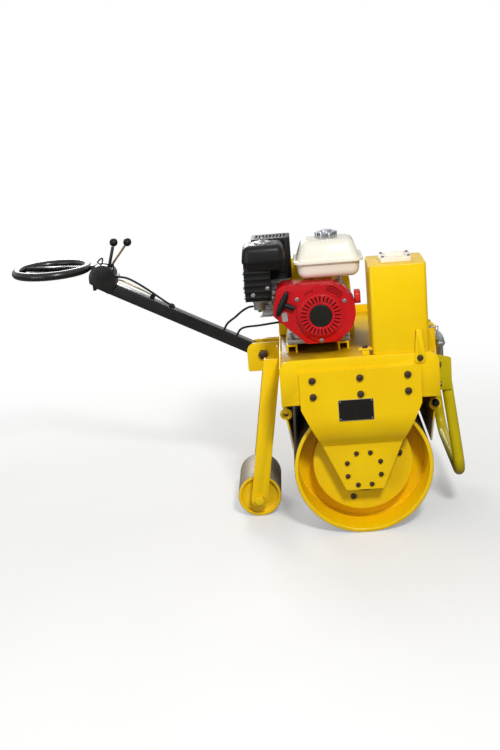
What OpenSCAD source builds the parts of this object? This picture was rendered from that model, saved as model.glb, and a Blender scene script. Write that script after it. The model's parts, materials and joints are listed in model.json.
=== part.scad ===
// Walk-behind roller: one wide smooth drum in an open yellow frame, a small
// petrol engine and a water tank on the deck, a tube guard in front, and at the
// rear a support roller and a folding steering handle.
// X points to the front, -Y is the near side, Z is up and the drum stands on Z = 0.

/* [Drum] */
// Outside radius of the drum
drum_r = 213; // [195:1:225]
// Length of the drum across the machine
drum_w = 600; // [560:1:640]
// Thickness of the rolled drum shell
drum_wall = 12; // [8:1:16]
// Depth from the rim to the web plate inside each end
drum_web_depth = 112; // [90:1:140]
// Thickness of each web plate
drum_web_t = 12; // [8:1:16]
// Radius of the raised hub disc
hub_disc_r = 154; // [140:1:165]
// Depth of the hub disc's face inside the rim
hub_disc_in = 50; // [40:1:60]
// Radius of the stub axle
axle_r = 35; // [30:1:40]

/* [Frame] */
// Length of each side panel
panel_l = 472; // [450:1:500]
// Height of the side panels' top edge
panel_top = 580; // [570:1:600]
// Height of the side panels' bottom edge
panel_bottom = 442; // [436:1:452]
// Thickness of the side panels
panel_t = 8; // [5:1:10]
// Radius of the side panels' top corners
panel_corner_r = 34; // [20:1:40]
// Clear distance between the two side panels
frame_gap = 684; // [670:1:700]
// Thickness of the deck and the end plates
sheet_t = 8; // [5:1:10]
// Depth of the deck's top face under the panels' top edge
deck_drop = 26; // [20:1:34]

/* [Side arms] */
// Thickness of the arm plates
arm_t = 8; // [6:1:12]
// Height of an arm's top edge
arm_top = 544; // [530:1:560]
// Half width of the arm along its top
arm_top_half = 180; // [165:1:200]
// Height where the arm starts to taper
arm_taper_z = 428; // [410:1:440]
// Half width at the lower fold
arm_fold_half = 121; // [110:1:135]
// Height of the upper fold
arm_fold_top = 352; // [335:1:370]
// Height of the lower fold
arm_fold_bottom = 293; // [280:1:305]
// Half width of the bottom edge
arm_bottom_half = 57; // [50:1:70]
// Height of the bottom edge
arm_bottom = 146; // [135:1:155]
// Radius of the hub flange behind the arm
hub_flange_r = 74; // [66:1:85]

/* [Engine] */
// Distance of the crankshaft behind the drum axis
crank_back = 100; // [80:1:120]
// Height of the crankshaft above the engine's feet
crank_rise = 106; // [100:1:116]
// Distance of the starter's face from the middle plane
starter_face = 246; // [230:1:260]
// Radius of the starter's slotted disc
starter_r = 67; // [60:1:74]
// Number of radial slots in the starter
starter_slots = 28; // [20:1:36]
// Length of the crankcase along the machine
case_l = 176; // [160:1:190]
// Width of the crankcase across the machine
case_w = 170; // [150:1:190]
// Height of the crankcase
case_h = 122; // [110:1:135]

/* [Fuel tank] */
// Length of the fuel tank at its seam
fuel_l = 212; // [195:1:225]
// Width of the fuel tank at its seam
fuel_w = 170; // [150:1:180]
// Height of the seam above the engine's feet
fuel_seam_rise = 258; // [250:1:266]
// Height of the upper half of the tank
fuel_upper_h = 62; // [50:1:72]
// Height of the lower half of the tank
fuel_lower_h = 52; // [42:1:56]
// Radius of the filler cap
fuel_cap_r = 34; // [28:1:38]

/* [Air cleaner and exhaust] */
// Length of the air cleaner along the machine
air_l = 132; // [120:1:142]
// Width of the air cleaner across the machine
air_w = 120; // [105:1:130]
// Height of the air cleaner's domed cover
air_cover_h = 52; // [44:1:60]
// Height of the muffler guard
muffler_h = 130; // [115:1:140]
// Length of the muffler guard along the machine
muffler_l = 122; // [105:1:130]
// Width of the muffler guard across the machine
muffler_w = 96; // [80:1:104]

/* [Belt guard] */
// Radius of the belt guard's round top
guard_top_r = 118; // [105:1:126]
// Thickness of the belt guard across the machine
guard_w = 58; // [45:1:70]

/* [Water tank] */
// Length of the water tank along the machine
tank_l = 166; // [150:1:176]
// Width of the water tank across the machine
tank_w = 176; // [150:1:200]
// Height of the water tank's top above the side panel
tank_h = 263; // [240:1:285]
// Length of the ribbed cover on the tank
cover_l = 94; // [80:1:110]
// Outside radius of the outlet pipe
pipe_r = 11; // [9:0.5:13]
// Radius of the pipe's bore
pipe_bore_r = 8; // [6:0.5:8.5]

/* [Front guard] */
// Outside radius of the guard tube
guard_tube_r = 17; // [14:0.5:20]
// Distance between the guard's two legs
guard_span = 460; // [420:1:500]
// Height of the lowest tube's middle
guard_low_z = 142; // [120:1:170]
// Distance of the guard's foot in front of the frame
guard_ahead = 68; // [58:1:84]

/* [Support roller] */
// Radius of the support roller
roller_r = 70; // [62:1:74]
// Length of the support roller
roller_w = 220; // [190:1:250]
// Distance of the support roller behind the frame
roller_behind = 98; // [88:1:110]
// Radius of the roller's axle
roller_axle_r = 10; // [8:0.5:13]

/* [Handle] */
// Distance of the handle pivot behind the frame
pivot_behind = 53; // [48:1:62]
// Height of the handle pivot
pivot_z = 524; // [518:1:532]
// Radius of the pivot bolt
pivot_r = 10; // [8:0.5:12]
// Rise of the handle above level at rest
handle_angle = 28; // [26:1:30]
// Side of the square handle tube
handle_tube = 38; // [34:1:44]
// Wall of the square handle tube
handle_wall = 4; // [3:0.5:6]
// Distance from the pivot back to the control head's front face
head_behind = 449; // [436:1:466]
// Middle radius of the steering ring
ring_r = 114; // [105:1:125]
// Radius of the steering ring's tube
ring_tube_r = 13; // [11:0.5:15]

/* [Hidden] */
$fn = 64;

// Overrun of every cut
cut = 1;
// Running clearance of a shaft in its bore
fit = 0.05;
// Clearance between a moving piece and what it passes
run_gap = 6;
// Clearance between two painted pieces that are bolted together
seat_gap = 0.3;
// Steps in a quarter turn of a rounded outline
corner_steps = 8;

// Reach of the whole machine, which sets the place of the origin
// The pieces at both ends keep their distance from the frame
panel_half = panel_l / 2;
guard_foot_x = panel_half + guard_ahead;
roller_back = panel_half + roller_behind;
pivot_back = panel_half + pivot_behind;
head_back = pivot_back + head_behind;
// Distance from the control head's front face back to the ring's middle
ring_offset = 204;
ring_back = head_back + ring_offset;
rear_reach = ring_back + ring_r + ring_tube_r;
front_reach = guard_foot_x + guard_tube_r;
shift_x = (rear_reach - front_reach) / 2;

// Frame planes
panel_in = frame_gap / 2;
panel_out = panel_in + panel_t;
deck_z = panel_top - deck_drop;
feet_z = panel_top;

// Side arm places and the bolt rows that hold it
arm_out = panel_out + arm_t;
arm_step = arm_out - drum_w / 2 - arm_t;
arm_corner_r = 5;
arm_bolt_r = 7;
arm_bolt_pitch = 141;
arm_bolt_drop = 27;
arm_bolt_rows = 50;
arm_bolt_xs = [-arm_bolt_pitch, 0, arm_bolt_pitch];
arm_bolt_zs = [arm_top - arm_bolt_drop - arm_bolt_rows, arm_top - arm_bolt_drop];
hub_bolt_r = 5;
hub_bolt_circle_r = 55;
hub_bolts = 8;

// Engine places
crank_x = -crank_back;
crank_z = feet_z + crank_rise;
starter_out = 24;
shroud_face = starter_face - starter_out;
shroud_depth = 86;
case_face = shroud_face - shroud_depth;

function unit(v) = v / norm(v);

// Points of a rounded corner of radius r between its two neighbours
function corner(before, at, after, r) =
    let (a = unit(before - at), b = unit(after - at),
         half = acos(a * b) / 2,
         middle = at + unit(a + b) * (r / sin(half)),
         first = at + a * (r / tan(half)) - middle,
         last = at + b * (r / tan(half)) - middle,
         from = atan2(first.y, first.x),
         sweep = atan2(first.x * last.y - first.y * last.x, first * last))
    [for (i = [0 : corner_steps]) middle + r * [cos(from + sweep * i / corner_steps),
                                               sin(from + sweep * i / corner_steps)]];

// Outline from corners given as [x, y, radius]
function rounded(list) =
    let (n = len(list))
    [for (i = [0 : n - 1])
        let (p = list[(i + n - 1) % n], q = list[i], s = list[(i + 1) % n])
        each q[2] > 0
            ? corner([p.x, p.y], [q.x, q.y], [s.x, s.y], q[2])
            : [[q.x, q.y]]];

// Rounded rectangle from two opposite corners
function rounded_box(low, high, r) =
    rounded([[low.x, low.y, r], [high.x, low.y, r], [high.x, high.y, r], [low.x, high.y, r]]);

// Everything stands in the machine's own frame
module placed() {
    translate([shift_x, 0, 0]) children();
}

// An outline in X and Z, thick from y_low to y_high
module wall_xz(y_low, y_high) {
    translate([0, y_high, 0]) rotate([90, 0, 0]) linear_extrude(y_high - y_low) children();
}

// An outline in Y and Z, thick from x_low to x_high
module wall_yz(x_low, x_high) {
    translate([x_low, 0, 0]) rotate([90, 0, 90]) linear_extrude(x_high - x_low) children();
}

// A block between two opposite corners
module block(low, high) {
    translate(low) cube(high - low);
}

// A round bar that lies across the machine
module cross_bar(x, z, r, y_low, y_high) {
    translate([x, y_high, z]) rotate([90, 0, 0]) cylinder(r = r, h = y_high - y_low);
}

// A round bar from one point to another
module rod(from, to, r) {
    d = to - from;
    translate(from) rotate([0, acos(d.z / norm(d)), atan2(d.y, d.x)]) cylinder(r = r, h = norm(d));
}

// The near piece, or its mirror on the far side
module side(far) {
    if (far) mirror([0, 1, 0]) children();
    else children();
}

// Side panels of the frame, drilled for the arm bolts
module frame_side(far) {
    color("gold") placed() side(far) difference() {
        wall_xz(-panel_out, -panel_in) polygon(rounded([
            [-panel_half, panel_bottom, 0], [panel_half, panel_bottom, 0],
            [panel_half, panel_top, panel_corner_r], [-panel_half, panel_top, panel_corner_r]]));
        for (x = arm_bolt_xs, z = arm_bolt_zs)
            cross_bar(x, z, arm_bolt_r, -panel_out - cut, -panel_in + cut);
    }
}

module frame_side_near() { frame_side(false); }

module frame_side_far() { frame_side(true); }

// Deck between the panels and the two end plates
module frame_deck() {
    end = panel_half - sheet_t - seat_gap;
    color("gold") placed()
        block([-end, -panel_in + seat_gap, deck_z - sheet_t], [end, panel_in - seat_gap, deck_z]);
}

module end_plate(x_low) {
    color("gold") placed()
        block([x_low, -panel_in + seat_gap, panel_bottom], [x_low + sheet_t, panel_in - seat_gap, deck_z]);
}

module frame_rear_plate() { end_plate(-panel_half); }

module frame_front_plate() { end_plate(panel_half - sheet_t); }

// Folded arm that carries one end of the drum
module side_arm(far) {
    color("gold") placed() side(far) difference() {
        intersection() {
            wall_yz(-arm_top_half - cut, arm_top_half + cut) polygon([
                [-arm_out, arm_top + cut], [-arm_out, arm_fold_top],
                [-arm_out + arm_step, arm_fold_bottom], [-arm_out + arm_step, arm_bottom - cut],
                [-panel_out + arm_step, arm_bottom - cut], [-panel_out + arm_step, arm_fold_bottom],
                [-panel_out, arm_fold_top], [-panel_out, arm_top + cut]]);
            wall_xz(-arm_out - cut, -panel_out + arm_step + cut) polygon(rounded([
                [-arm_bottom_half, arm_bottom, arm_corner_r], [arm_bottom_half, arm_bottom, arm_corner_r],
                [arm_fold_half, arm_fold_bottom, 0],
                [arm_top_half, arm_taper_z, 0], [arm_top_half, arm_top, arm_corner_r],
                [-arm_top_half, arm_top, arm_corner_r], [-arm_top_half, arm_taper_z, 0],
                [-arm_fold_half, arm_fold_bottom, 0]]));
        }
        for (x = arm_bolt_xs, z = arm_bolt_zs)
            cross_bar(x, z, arm_bolt_r, -arm_out - cut, -panel_out + cut);
        for (i = [0 : hub_bolts - 1])
            let (a = (i + 0.5) * 360 / hub_bolts)
                cross_bar(hub_bolt_circle_r * cos(a), drum_r + hub_bolt_circle_r * sin(a), hub_bolt_r,
                          -arm_out + arm_step - cut, -panel_out + arm_step + cut);
    }
}

module side_arm_near() { side_arm(false); }

module side_arm_far() { side_arm(true); }

// Flange and stub axle bolted to the arm
hub_seat = drum_w / 2;
hub_flange_in = hub_seat - hub_disc_in + run_gap;
axle_reach = 24;
hub_face_t = 12;
hub_wall = 10;

module hub(far) {
    color("dimgray") placed() side(far) {
        cross_bar(0, drum_r, hub_flange_r, -hub_seat, -hub_flange_in);
        cross_bar(0, drum_r, axle_r, -hub_flange_in - cut, -hub_seat + hub_disc_in + axle_reach);
    }
}

module hub_near() { hub(false); }

module hub_far() { hub(true); }

// Rolled drum shell
module drum_shell() {
    half = drum_w / 2;
    color("slategray") placed() difference() {
        cross_bar(0, drum_r, drum_r, -half, half);
        cross_bar(0, drum_r, drum_r - drum_wall, -half - cut, half + cut);
    }
}

// Web plate inside each end of the shell
module drum_webs() {
    web_out = drum_w / 2 - drum_web_depth;
    color("gold") placed() for (far = [false, true]) side(far)
        cross_bar(0, drum_r, drum_r - drum_wall - seat_gap, -web_out, -web_out + drum_web_t);
}

// Raised hub disc that turns on the stub axle
module drum_hub(far) {
    back = drum_w / 2 - drum_web_depth + seat_gap;
    face = drum_w / 2 - hub_disc_in;
    color("gold") placed() side(far) difference() {
        cross_bar(0, drum_r, hub_disc_r, -face, -back);
        cross_bar(0, drum_r, hub_disc_r - hub_wall, -face + hub_face_t, -back + cut);
        cross_bar(0, drum_r, axle_r + fit, -face - cut, -back);
    }
}

module drum_hub_near() { drum_hub(false); }

module drum_hub_far() { drum_hub(true); }

// Channel rails across the deck that lift the engine, open at both ends
rail_l = 210;
rail_w = 34;
rail_t = 6;
rail_out = 20;
rail_back = 94;
rail_ahead = 66;
rail_xs = [crank_x - rail_back, crank_x + rail_ahead];
rail_slot_in = 13;
rail_slot_l = 18;
rail_slot_w = 9;

module engine_rails() {
    near = -case_face - rail_out;
    color("gold") placed() for (x = rail_xs)
        difference() {
            block([x - rail_w / 2, near, deck_z], [x + rail_w / 2, near + rail_l, feet_z]);
            block([x - rail_w / 2 + rail_t, near - cut, deck_z - cut],
                  [x + rail_w / 2 - rail_t, near + rail_l + cut, feet_z - rail_t]);
            for (y = [near + rail_slot_in, near + rail_l - rail_slot_in])
                block([x - rail_slot_w / 2, y - rail_slot_l / 2, feet_z - rail_t - cut],
                      [x + rail_slot_w / 2, y + rail_slot_l / 2, feet_z + cut]);
        }
}

// Crankcase with its finned cylinder, tank posts and output shaft
case_corner_r = 16;
barrel_fin_count = 7;
barrel_fin_t = 4;
barrel_l = 100;
barrel_w = 110;
barrel_low = 74;
barrel_core = 12;
muffler_seat_rise = 184;
post_t = 8;
post_w = 40;
shaft_r = 12;
guard_seat_y = 82;
fuel_low_rise = fuel_seam_rise - fuel_lower_h;
fuel_ahead = 34;
fuel_x = crank_x + fuel_ahead;
fuel_y = -110;
post_gap = 84;
post_back = 24;
post_xs = [crank_x - post_back, crank_x - post_back + post_gap];
barrel_in = 70;
foot_h = 14;
foot_out = 18;
foot_side = 14;

module engine_block() {
    near = -case_face;
    left = crank_x - case_l / 2;
    barrel_y = near + barrel_in;
    fin_pitch = (muffler_seat_rise - barrel_low - barrel_fin_t) / (barrel_fin_count - 1);
    color("silver") placed() {
        wall_xz(near, near + case_w) polygon(rounded([
            [left, feet_z, 0], [left + case_l, feet_z, 0],
            [left + case_l, feet_z + case_h, case_corner_r], [left, feet_z + case_h, case_corner_r]]));
        block([left - foot_out, near - foot_side, feet_z],
              [left + case_l, near + case_w + foot_side, feet_z + foot_h]);
        block([left - barrel_l + barrel_core, barrel_y + barrel_core, feet_z + barrel_low],
              [left + cut, barrel_y + barrel_w - barrel_core, feet_z + case_h - case_corner_r]);
        block([left - barrel_l + barrel_core, barrel_y + barrel_core, feet_z + barrel_low],
              [left - cut, barrel_y + barrel_w - barrel_core, feet_z + muffler_seat_rise]);
        for (i = [0 : barrel_fin_count - 1])
            translate([0, 0, feet_z + barrel_low + i * fin_pitch])
                block([left - barrel_l, barrel_y, 0], [left - cut, barrel_y + barrel_w, barrel_fin_t]);
        for (x = post_xs)
            block([x, fuel_y - post_w / 2, feet_z + case_h - cut],
                  [x + post_t, fuel_y + post_w / 2, feet_z + fuel_low_rise]);
        cross_bar(crank_x, crank_z, shaft_r, near + case_w - cut, guard_seat_y - seat_gap);
    }
}

// Red fan shroud: its outline is given as shares of the starter's radius
shroud_shares = [
    [-0.7, -1.34], [0.75, -1.34], [1.4, -0.62], [1.56, -0.05], [1.57, 0.5],
    [1.2, 1.1], [0.6, 1.42], [-1.62, 1.42], [-1.9, 1.25], [-2.1, 0.5], [-2.14, 0.05]];
shroud_corner_r = 14;
boss_shift_shares = [0.25, 0.06];
boss_r_share = 1.33;
boss_out = 9;
// Louvres as [radius share, first angle, last angle]
louvre_shares = [[1.12, 36, 76], [1.23, 38, 74], [1.34, 41, 70], [1.12, 104, 126]];
louvre_w = 5;
louvre_deep = 6;

module fan_shroud() {
    front = -shroud_face;
    boss = [crank_x + boss_shift_shares.x * starter_r, crank_z + boss_shift_shares.y * starter_r];
    color("red") placed() difference() {
        union() {
            wall_xz(front, front + shroud_depth)
                polygon(rounded([for (s = shroud_shares)
                    [crank_x + s.x * starter_r, crank_z + s.y * starter_r, shroud_corner_r]]));
            cross_bar(boss.x, boss.y, boss_r_share * starter_r, front - boss_out, front + cut);
        }
        for (s = louvre_shares)
            translate([crank_x, front - boss_out + louvre_deep, crank_z]) rotate([90, 0, 0])
                rotate([0, 0, s[1]]) rotate_extrude(angle = s[2] - s[1])
                    translate([s[0] * starter_r, 0]) square([louvre_w, louvre_deep + cut]);
    }
}

// Round starter cover with a ring of radial slots and a plain badge disc
slot_shares = [0.62, 0.9];
slot_w = 4;
badge_share = 0.53;
badge_in = 2;
starter_lip = 6;

module starter_cover() {
    front = -starter_face;
    seat = -shroud_face - boss_out - seat_gap;
    color("red") placed() difference() {
        union() {
            cross_bar(crank_x, crank_z, starter_r, front + starter_lip, seat);
            cross_bar(crank_x, crank_z, starter_r - starter_lip, front, seat);
        }
        cross_bar(crank_x, crank_z, badge_share * starter_r, front - cut, front + badge_in);
        for (i = [0 : starter_slots - 1])
            translate([crank_x, 0, crank_z]) rotate([0, i * 360 / starter_slots, 0])
                block([slot_shares[0] * starter_r, front - cut, -slot_w / 2],
                      [slot_shares[1] * starter_r, seat - starter_lip / 2, slot_w / 2]);
    }
}

// Pull grip on its cord stem, beside the starter
grip_l = 84;
grip_r = 10;
grip_lean = 26;
grip_back = 113;
grip_rise = 42;
grip_x = crank_x - grip_back;
grip_z = crank_z + grip_rise;
stem_l = 40;
stem_r = 7;

module starter_grip() {
    y = -shroud_face - grip_r - seat_gap;
    color("black") placed() translate([grip_x, y, grip_z]) rotate([0, grip_lean, 0]) {
        translate([0, 0, -grip_l / 2]) cylinder(r = grip_r, h = grip_l);
        rotate([0, 90, 0]) cylinder(r = stem_r, h = stem_l);
    }
}

// Moulded fuel tank: two rounded halves that meet at a seam flange
fuel_round_r = 26;
fuel_inset = 12;
fuel_taper = 10;
flange_t = 8;
flange_corner_r = 30;
hull_fn = 32;

module fuel_half(z_low, z_high, inset_low, inset_high) {
    function half_l(inset) = fuel_l / 2 - inset - fuel_round_r;
    function half_w(inset) = fuel_w / 2 - inset - fuel_round_r;
    hull() for (x = [-1, 1], y = [-1, 1]) {
        translate([fuel_x + x * half_l(inset_low), fuel_y + y * half_w(inset_low), z_low + fuel_round_r])
            sphere(r = fuel_round_r, $fn = hull_fn);
        translate([fuel_x + x * half_l(inset_high), fuel_y + y * half_w(inset_high), z_high - fuel_round_r])
            sphere(r = fuel_round_r, $fn = hull_fn);
    }
}

module fuel_tank() {
    seam = feet_z + fuel_seam_rise;
    color("ivory") placed() {
        fuel_half(feet_z + fuel_low_rise, seam + fuel_round_r, fuel_inset, fuel_taper);
        fuel_half(seam - fuel_round_r, seam + fuel_upper_h, fuel_taper, fuel_taper + fuel_inset);
        translate([fuel_x, fuel_y, seam - flange_t / 2]) linear_extrude(flange_t)
            polygon(rounded_box([-fuel_l / 2, -fuel_w / 2], [fuel_l / 2, fuel_w / 2], flange_corner_r));
    }
}

// Pressed filler cap with finger lobes
cap_h = 18;
cap_lobes = 6;
cap_lobe_r = 9;
cap_top_h = 5;

module fuel_cap() {
    z = feet_z + fuel_seam_rise + fuel_upper_h + seat_gap;
    color("silver") placed() translate([fuel_x, fuel_y, z]) {
        cylinder(r = fuel_cap_r - cap_lobe_r / 2, h = cap_h);
        cylinder(r = fuel_cap_r / 2, h = cap_h + cap_top_h);
        for (i = [0 : cap_lobes - 1])
            rotate([0, 0, i * 360 / cap_lobes]) translate([fuel_cap_r - cap_lobe_r, 0, 0])
                cylinder(r = cap_lobe_r, h = cap_h);
    }
}

// Air cleaner: domed cover, straight body and a ribbed lower box
air_back = 162;
air_x = crank_x - air_back;
air_y = -126;
air_seam_rise = 268;
air_body_h = 23;
air_box_l = 80;
air_box_h = 95;
air_round_r = 22;
air_lip = 3;
air_lip_h = 8;
air_stud_r = 5;
air_washer_r = 25;
air_stud_h = 12;
air_washer_h = 4;
rib_count = 5;
rib_out = 3;

module air_cleaner() {
    seam = feet_z + air_seam_rise;
    hl = air_l / 2;
    hw = air_w / 2;
    box_left = air_x - hl + rib_out;
    low = seam - air_body_h;
    top = seam + air_cover_h;
    color("black") placed() {
        hull() for (x = [-1, 1], y = [-1, 1]) {
            translate([air_x + x * (hl - air_round_r), air_y + y * (hw - air_round_r), seam])
                cylinder(r = air_round_r, h = air_lip_h, $fn = hull_fn);
            translate([air_x + x * (hl - air_round_r - air_lip), air_y + y * (hw - air_round_r - air_lip),
                       top - air_round_r]) sphere(r = air_round_r, $fn = hull_fn);
        }
        translate([air_x, air_y, low]) linear_extrude(air_body_h + cut)
            polygon(rounded_box([-hl + air_lip, -hw + air_lip], [hl - air_lip, hw - air_lip], air_round_r));
        translate([air_x, air_y, top - cut]) cylinder(r = air_washer_r, h = air_washer_h + cut);
        translate([air_x, air_y, top - cut]) cylinder(r = air_stud_r, h = air_stud_h + cut);
        block([box_left, air_y - hw + 2 * rib_out, low - air_box_h],
              [box_left + air_box_l, air_y + hw - 2 * rib_out, low + cut]);
        for (i = [0 : rib_count - 1])
            translate([0, 0, low - air_box_h + (i + 0.5) * air_box_h / rib_count])
                block([box_left - rib_out, air_y - hw + rib_out, 0],
                      [box_left + air_box_l, air_y + hw - 2 * rib_out, rib_out]);
    }
}

// Carburettor body with its round float bowl
bowl_r = 18;
bowl_h = 24;
carb_l = 40;
carb_back = 24;
carb_h = 18;
drain_r = 5;
drain_h = 8;

module carburettor() {
    top = feet_z + air_seam_rise - air_body_h - air_box_h - seat_gap;
    x = air_x - carb_back;
    y = -case_face + barrel_in - seat_gap;
    color("gray") placed() {
        block([x - carb_l / 2, y - 2 * bowl_r - barrel_core, top - carb_h], [x + carb_l / 2, y, top]);
        translate([x, y - bowl_r - barrel_core, top - carb_h - bowl_h]) {
            cylinder(r = bowl_r, h = bowl_h + cut);
            translate([0, 0, -drain_h]) cylinder(r = drain_r, h = drain_h + cut);
        }
    }
}

// Muffler guard: a folded box with rows of slots
muffler_back = 139;
muffler_x = crank_x - muffler_back;
muffler_y = 28;
muffler_corner_r = 14;
muffler_slots = 6;
muffler_slot_w = 6;
muffler_slot_share = 0.7;
muffler_slot_deep = 5;

module muffler() {
    low = feet_z + muffler_seat_rise;
    hl = muffler_l / 2;
    hw = muffler_w / 2;
    pitch = muffler_h / (muffler_slots + 1);
    color("dimgray") placed() difference() {
        translate([muffler_x, muffler_y, low]) linear_extrude(muffler_h)
            polygon(rounded_box([-hl, -hw], [hl, hw], muffler_corner_r));
        for (i = [1 : muffler_slots]) {
            translate([muffler_x, 0, low + i * pitch - muffler_slot_w / 2]) {
                block([-hl * muffler_slot_share, muffler_y - hw - cut, 0],
                      [hl * muffler_slot_share, muffler_y - hw + muffler_slot_deep, muffler_slot_w]);
                block([-hl * muffler_slot_share, muffler_y + hw - muffler_slot_deep, 0],
                      [hl * muffler_slot_share, muffler_y + hw + cut, muffler_slot_w]);
                block([-hl - cut, muffler_y - hw * muffler_slot_share, 0],
                      [-hl + muffler_slot_deep, muffler_y + hw * muffler_slot_share, muffler_slot_w]);
            }
        }
    }
}

// Stop switch on its small box at the shroud's front edge
switch_l = 18;
switch_w = 40;
switch_in = 8;
switch_low_rise = 130;
switch_h = 36;
switch_key_out = 7;
switch_key_h = 22;
switch_key_w = 14;

module engine_switch() {
    x = crank_x + shroud_shares[4].x * starter_r + seat_gap;
    y = -shroud_face + switch_in;
    z = feet_z + switch_low_rise;
    color("red") placed() {
        block([x, y, z], [x + switch_l, y + switch_w, z + switch_h]);
        translate([x + switch_l / 2, y, z + switch_h / 2])
            block([-switch_key_w / 2, -switch_key_out, -switch_key_h / 2],
                  [switch_key_w / 2, cut, switch_key_h / 2]);
    }
}

// Sheet guard over the belt on the far side of the engine
guard_back = 10;
guard_x = crank_x - guard_back;
guard_mid_rise = 130;
guard_foot_half = 124;
guard_foot_h = 50;
guard_steps = 24;

module belt_guard() {
    z = feet_z + guard_mid_rise;
    color("gold") placed() wall_xz(guard_seat_y, guard_seat_y + guard_w)
        polygon(concat(
            [[guard_x - guard_foot_half, deck_z], [guard_x + guard_foot_half, deck_z],
             [guard_x + guard_foot_half, deck_z + guard_foot_h]],
            [for (i = [0 : guard_steps]) let (a = 180 * i / guard_steps)
                [guard_x + guard_top_r * cos(a), z + guard_top_r * sin(a)]],
            [[guard_x - guard_foot_half, deck_z + guard_foot_h]]));
}

// Water tank on its feet, front of the engine on the near side
tank_front_in = 26;
tank_x = panel_half - tank_front_in - tank_l;
tank_in = 5;
tank_out = panel_out - tank_in;
tank_corner_r = 12;
tank_foot_w = 30;
tank_top = panel_top + tank_h;

module water_tank() {
    far_y = -tank_out + tank_w;
    color("gold") placed() {
        translate([0, 0, panel_top]) linear_extrude(tank_h)
            polygon(rounded_box([tank_x, -tank_out], [tank_x + tank_l, far_y], tank_corner_r));
        for (x = [tank_x + tank_corner_r, tank_x + tank_l - tank_corner_r - tank_foot_w])
            block([x, far_y - 2 * tank_foot_w, deck_z], [x + tank_foot_w, far_y - tank_foot_w, panel_top + cut]);
    }
}

// Ribbed cover screwed on the tank's top
cover_w = 84;
cover_h = 16;
cover_out = 40;
cover_corner_r = 10;
cover_ridges = 4;
cover_ridge_h = 4;
cover_ridge_share = 0.55;

module tank_cover() {
    x = tank_x + (tank_l - cover_l) / 2;
    y = -tank_out + cover_out;
    z = tank_top + seat_gap;
    pitch = cover_w / (cover_ridges + 1);
    color("ivory") placed() {
        translate([0, 0, z]) linear_extrude(cover_h)
            polygon(rounded_box([x, y], [x + cover_l, y + cover_w], cover_corner_r));
        for (i = [1 : cover_ridges])
            translate([x + cover_l * (1 - cover_ridge_share) / 2, y + i * pitch - cover_ridge_h / 2, z])
                cube([cover_l * cover_ridge_share, cover_ridge_h, cover_h + cover_ridge_h]);
    }
}

// Strap that holds the tank to the side panel
strap_t = 5;
strap_top_half = 9;
strap_low_half = 17;
strap_top_rise = 70;
strap_low_drop = 32;
strap_in = 30;
strap_hole_r = 6;
strap_hole_drop = 16;

module tank_strap() {
    x = tank_x + tank_l - strap_in;
    y = -panel_out - seat_gap;
    color("gold") placed() difference() {
        union() {
            wall_xz(y - strap_t, y) polygon(rounded([
                [x - strap_low_half, panel_top - strap_low_drop, strap_top_half],
                [x + strap_low_half, panel_top - strap_low_drop, strap_top_half],
                [x + strap_top_half, panel_top + strap_top_rise, strap_t],
                [x - strap_top_half, panel_top + strap_top_rise, strap_t]]));
            wall_xz(y - cut, -tank_out - seat_gap) polygon([
                [x - strap_top_half, panel_top + strap_low_drop], [x + strap_top_half, panel_top + strap_low_drop],
                [x + strap_top_half, panel_top + strap_top_rise - strap_t],
                [x - strap_top_half, panel_top + strap_top_rise - strap_t]]);
        }
        cross_bar(x, panel_top - strap_hole_drop, strap_hole_r, y - strap_t - cut, y + cut);
    }
}

// Outlet: a stub, an elbow and a down pipe with a true bore
pipe_in = 32;
pipe_y = pipe_in - guard_span / 2;
pipe_rise = 14;
pipe_bend_r = 24;
pipe_ahead = 20;
pipe_x = panel_half + pipe_ahead;
pipe_drop = 96;
collar_r = 15;
collar_l = 14;

module pipe_sweep(r) {
    x0 = tank_x + tank_l;
    x1 = pipe_x;
    z = panel_top + pipe_rise;
    rod([x0 + seat_gap, pipe_y, z], [x1 - pipe_bend_r, pipe_y, z], r);
    translate([x1 - pipe_bend_r, pipe_y, z - pipe_bend_r]) rotate([90, 0, 0])
        rotate_extrude(angle = 90) translate([pipe_bend_r, 0]) circle(r = r);
    rod([x1, pipe_y, z - pipe_bend_r], [x1, pipe_y, z - pipe_drop], r);
}

module water_pipe() {
    x0 = tank_x + tank_l + seat_gap;
    x1 = pipe_x;
    z = panel_top + pipe_rise;
    color("lightgray") placed() difference() {
        union() {
            pipe_sweep(pipe_r);
            rod([x0, pipe_y, z], [x0 + collar_l, pipe_y, z], collar_r);
            rod([x1, pipe_y, z - pipe_bend_r], [x1, pipe_y, z - pipe_bend_r - collar_l], collar_r);
        }
        rod([x1, pipe_y, z - pipe_bend_r], [x1, pipe_y, z - pipe_drop - cut], pipe_bore_r);
    }
}

// Upright lug on the deck's front edge, with a bore for its chain
lug_w = 24;
lug_t = 10;
lug_y = -257;
lug_h = 90;
lug_hole_r = 5.5;
lug_in = 11;
lug_x = panel_half - lug_in;
lug_hole_z = deck_z + lug_h - lug_w / 2;

module tie_lug() {
    color("gold") placed() difference() {
        union() {
            block([lug_x - lug_w / 2, lug_y - lug_t / 2, deck_z], [lug_x + lug_w / 2, lug_y + lug_t / 2, lug_hole_z]);
            cross_bar(lug_x, lug_hole_z, lug_w / 2, lug_y - lug_t / 2, lug_y + lug_t / 2);
        }
        cross_bar(lug_x, lug_hole_z, lug_hole_r, lug_y - lug_t / 2 - cut, lug_y + lug_t / 2 + cut);
    }
}

// Short chain of round links: the first passes through the lug
link_r = 12.5;
link_wire_r = 2;
chain_links = 4;

module link_ring() {
    rotate_extrude() translate([link_r, 0]) circle(r = link_wire_r);
}

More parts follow.
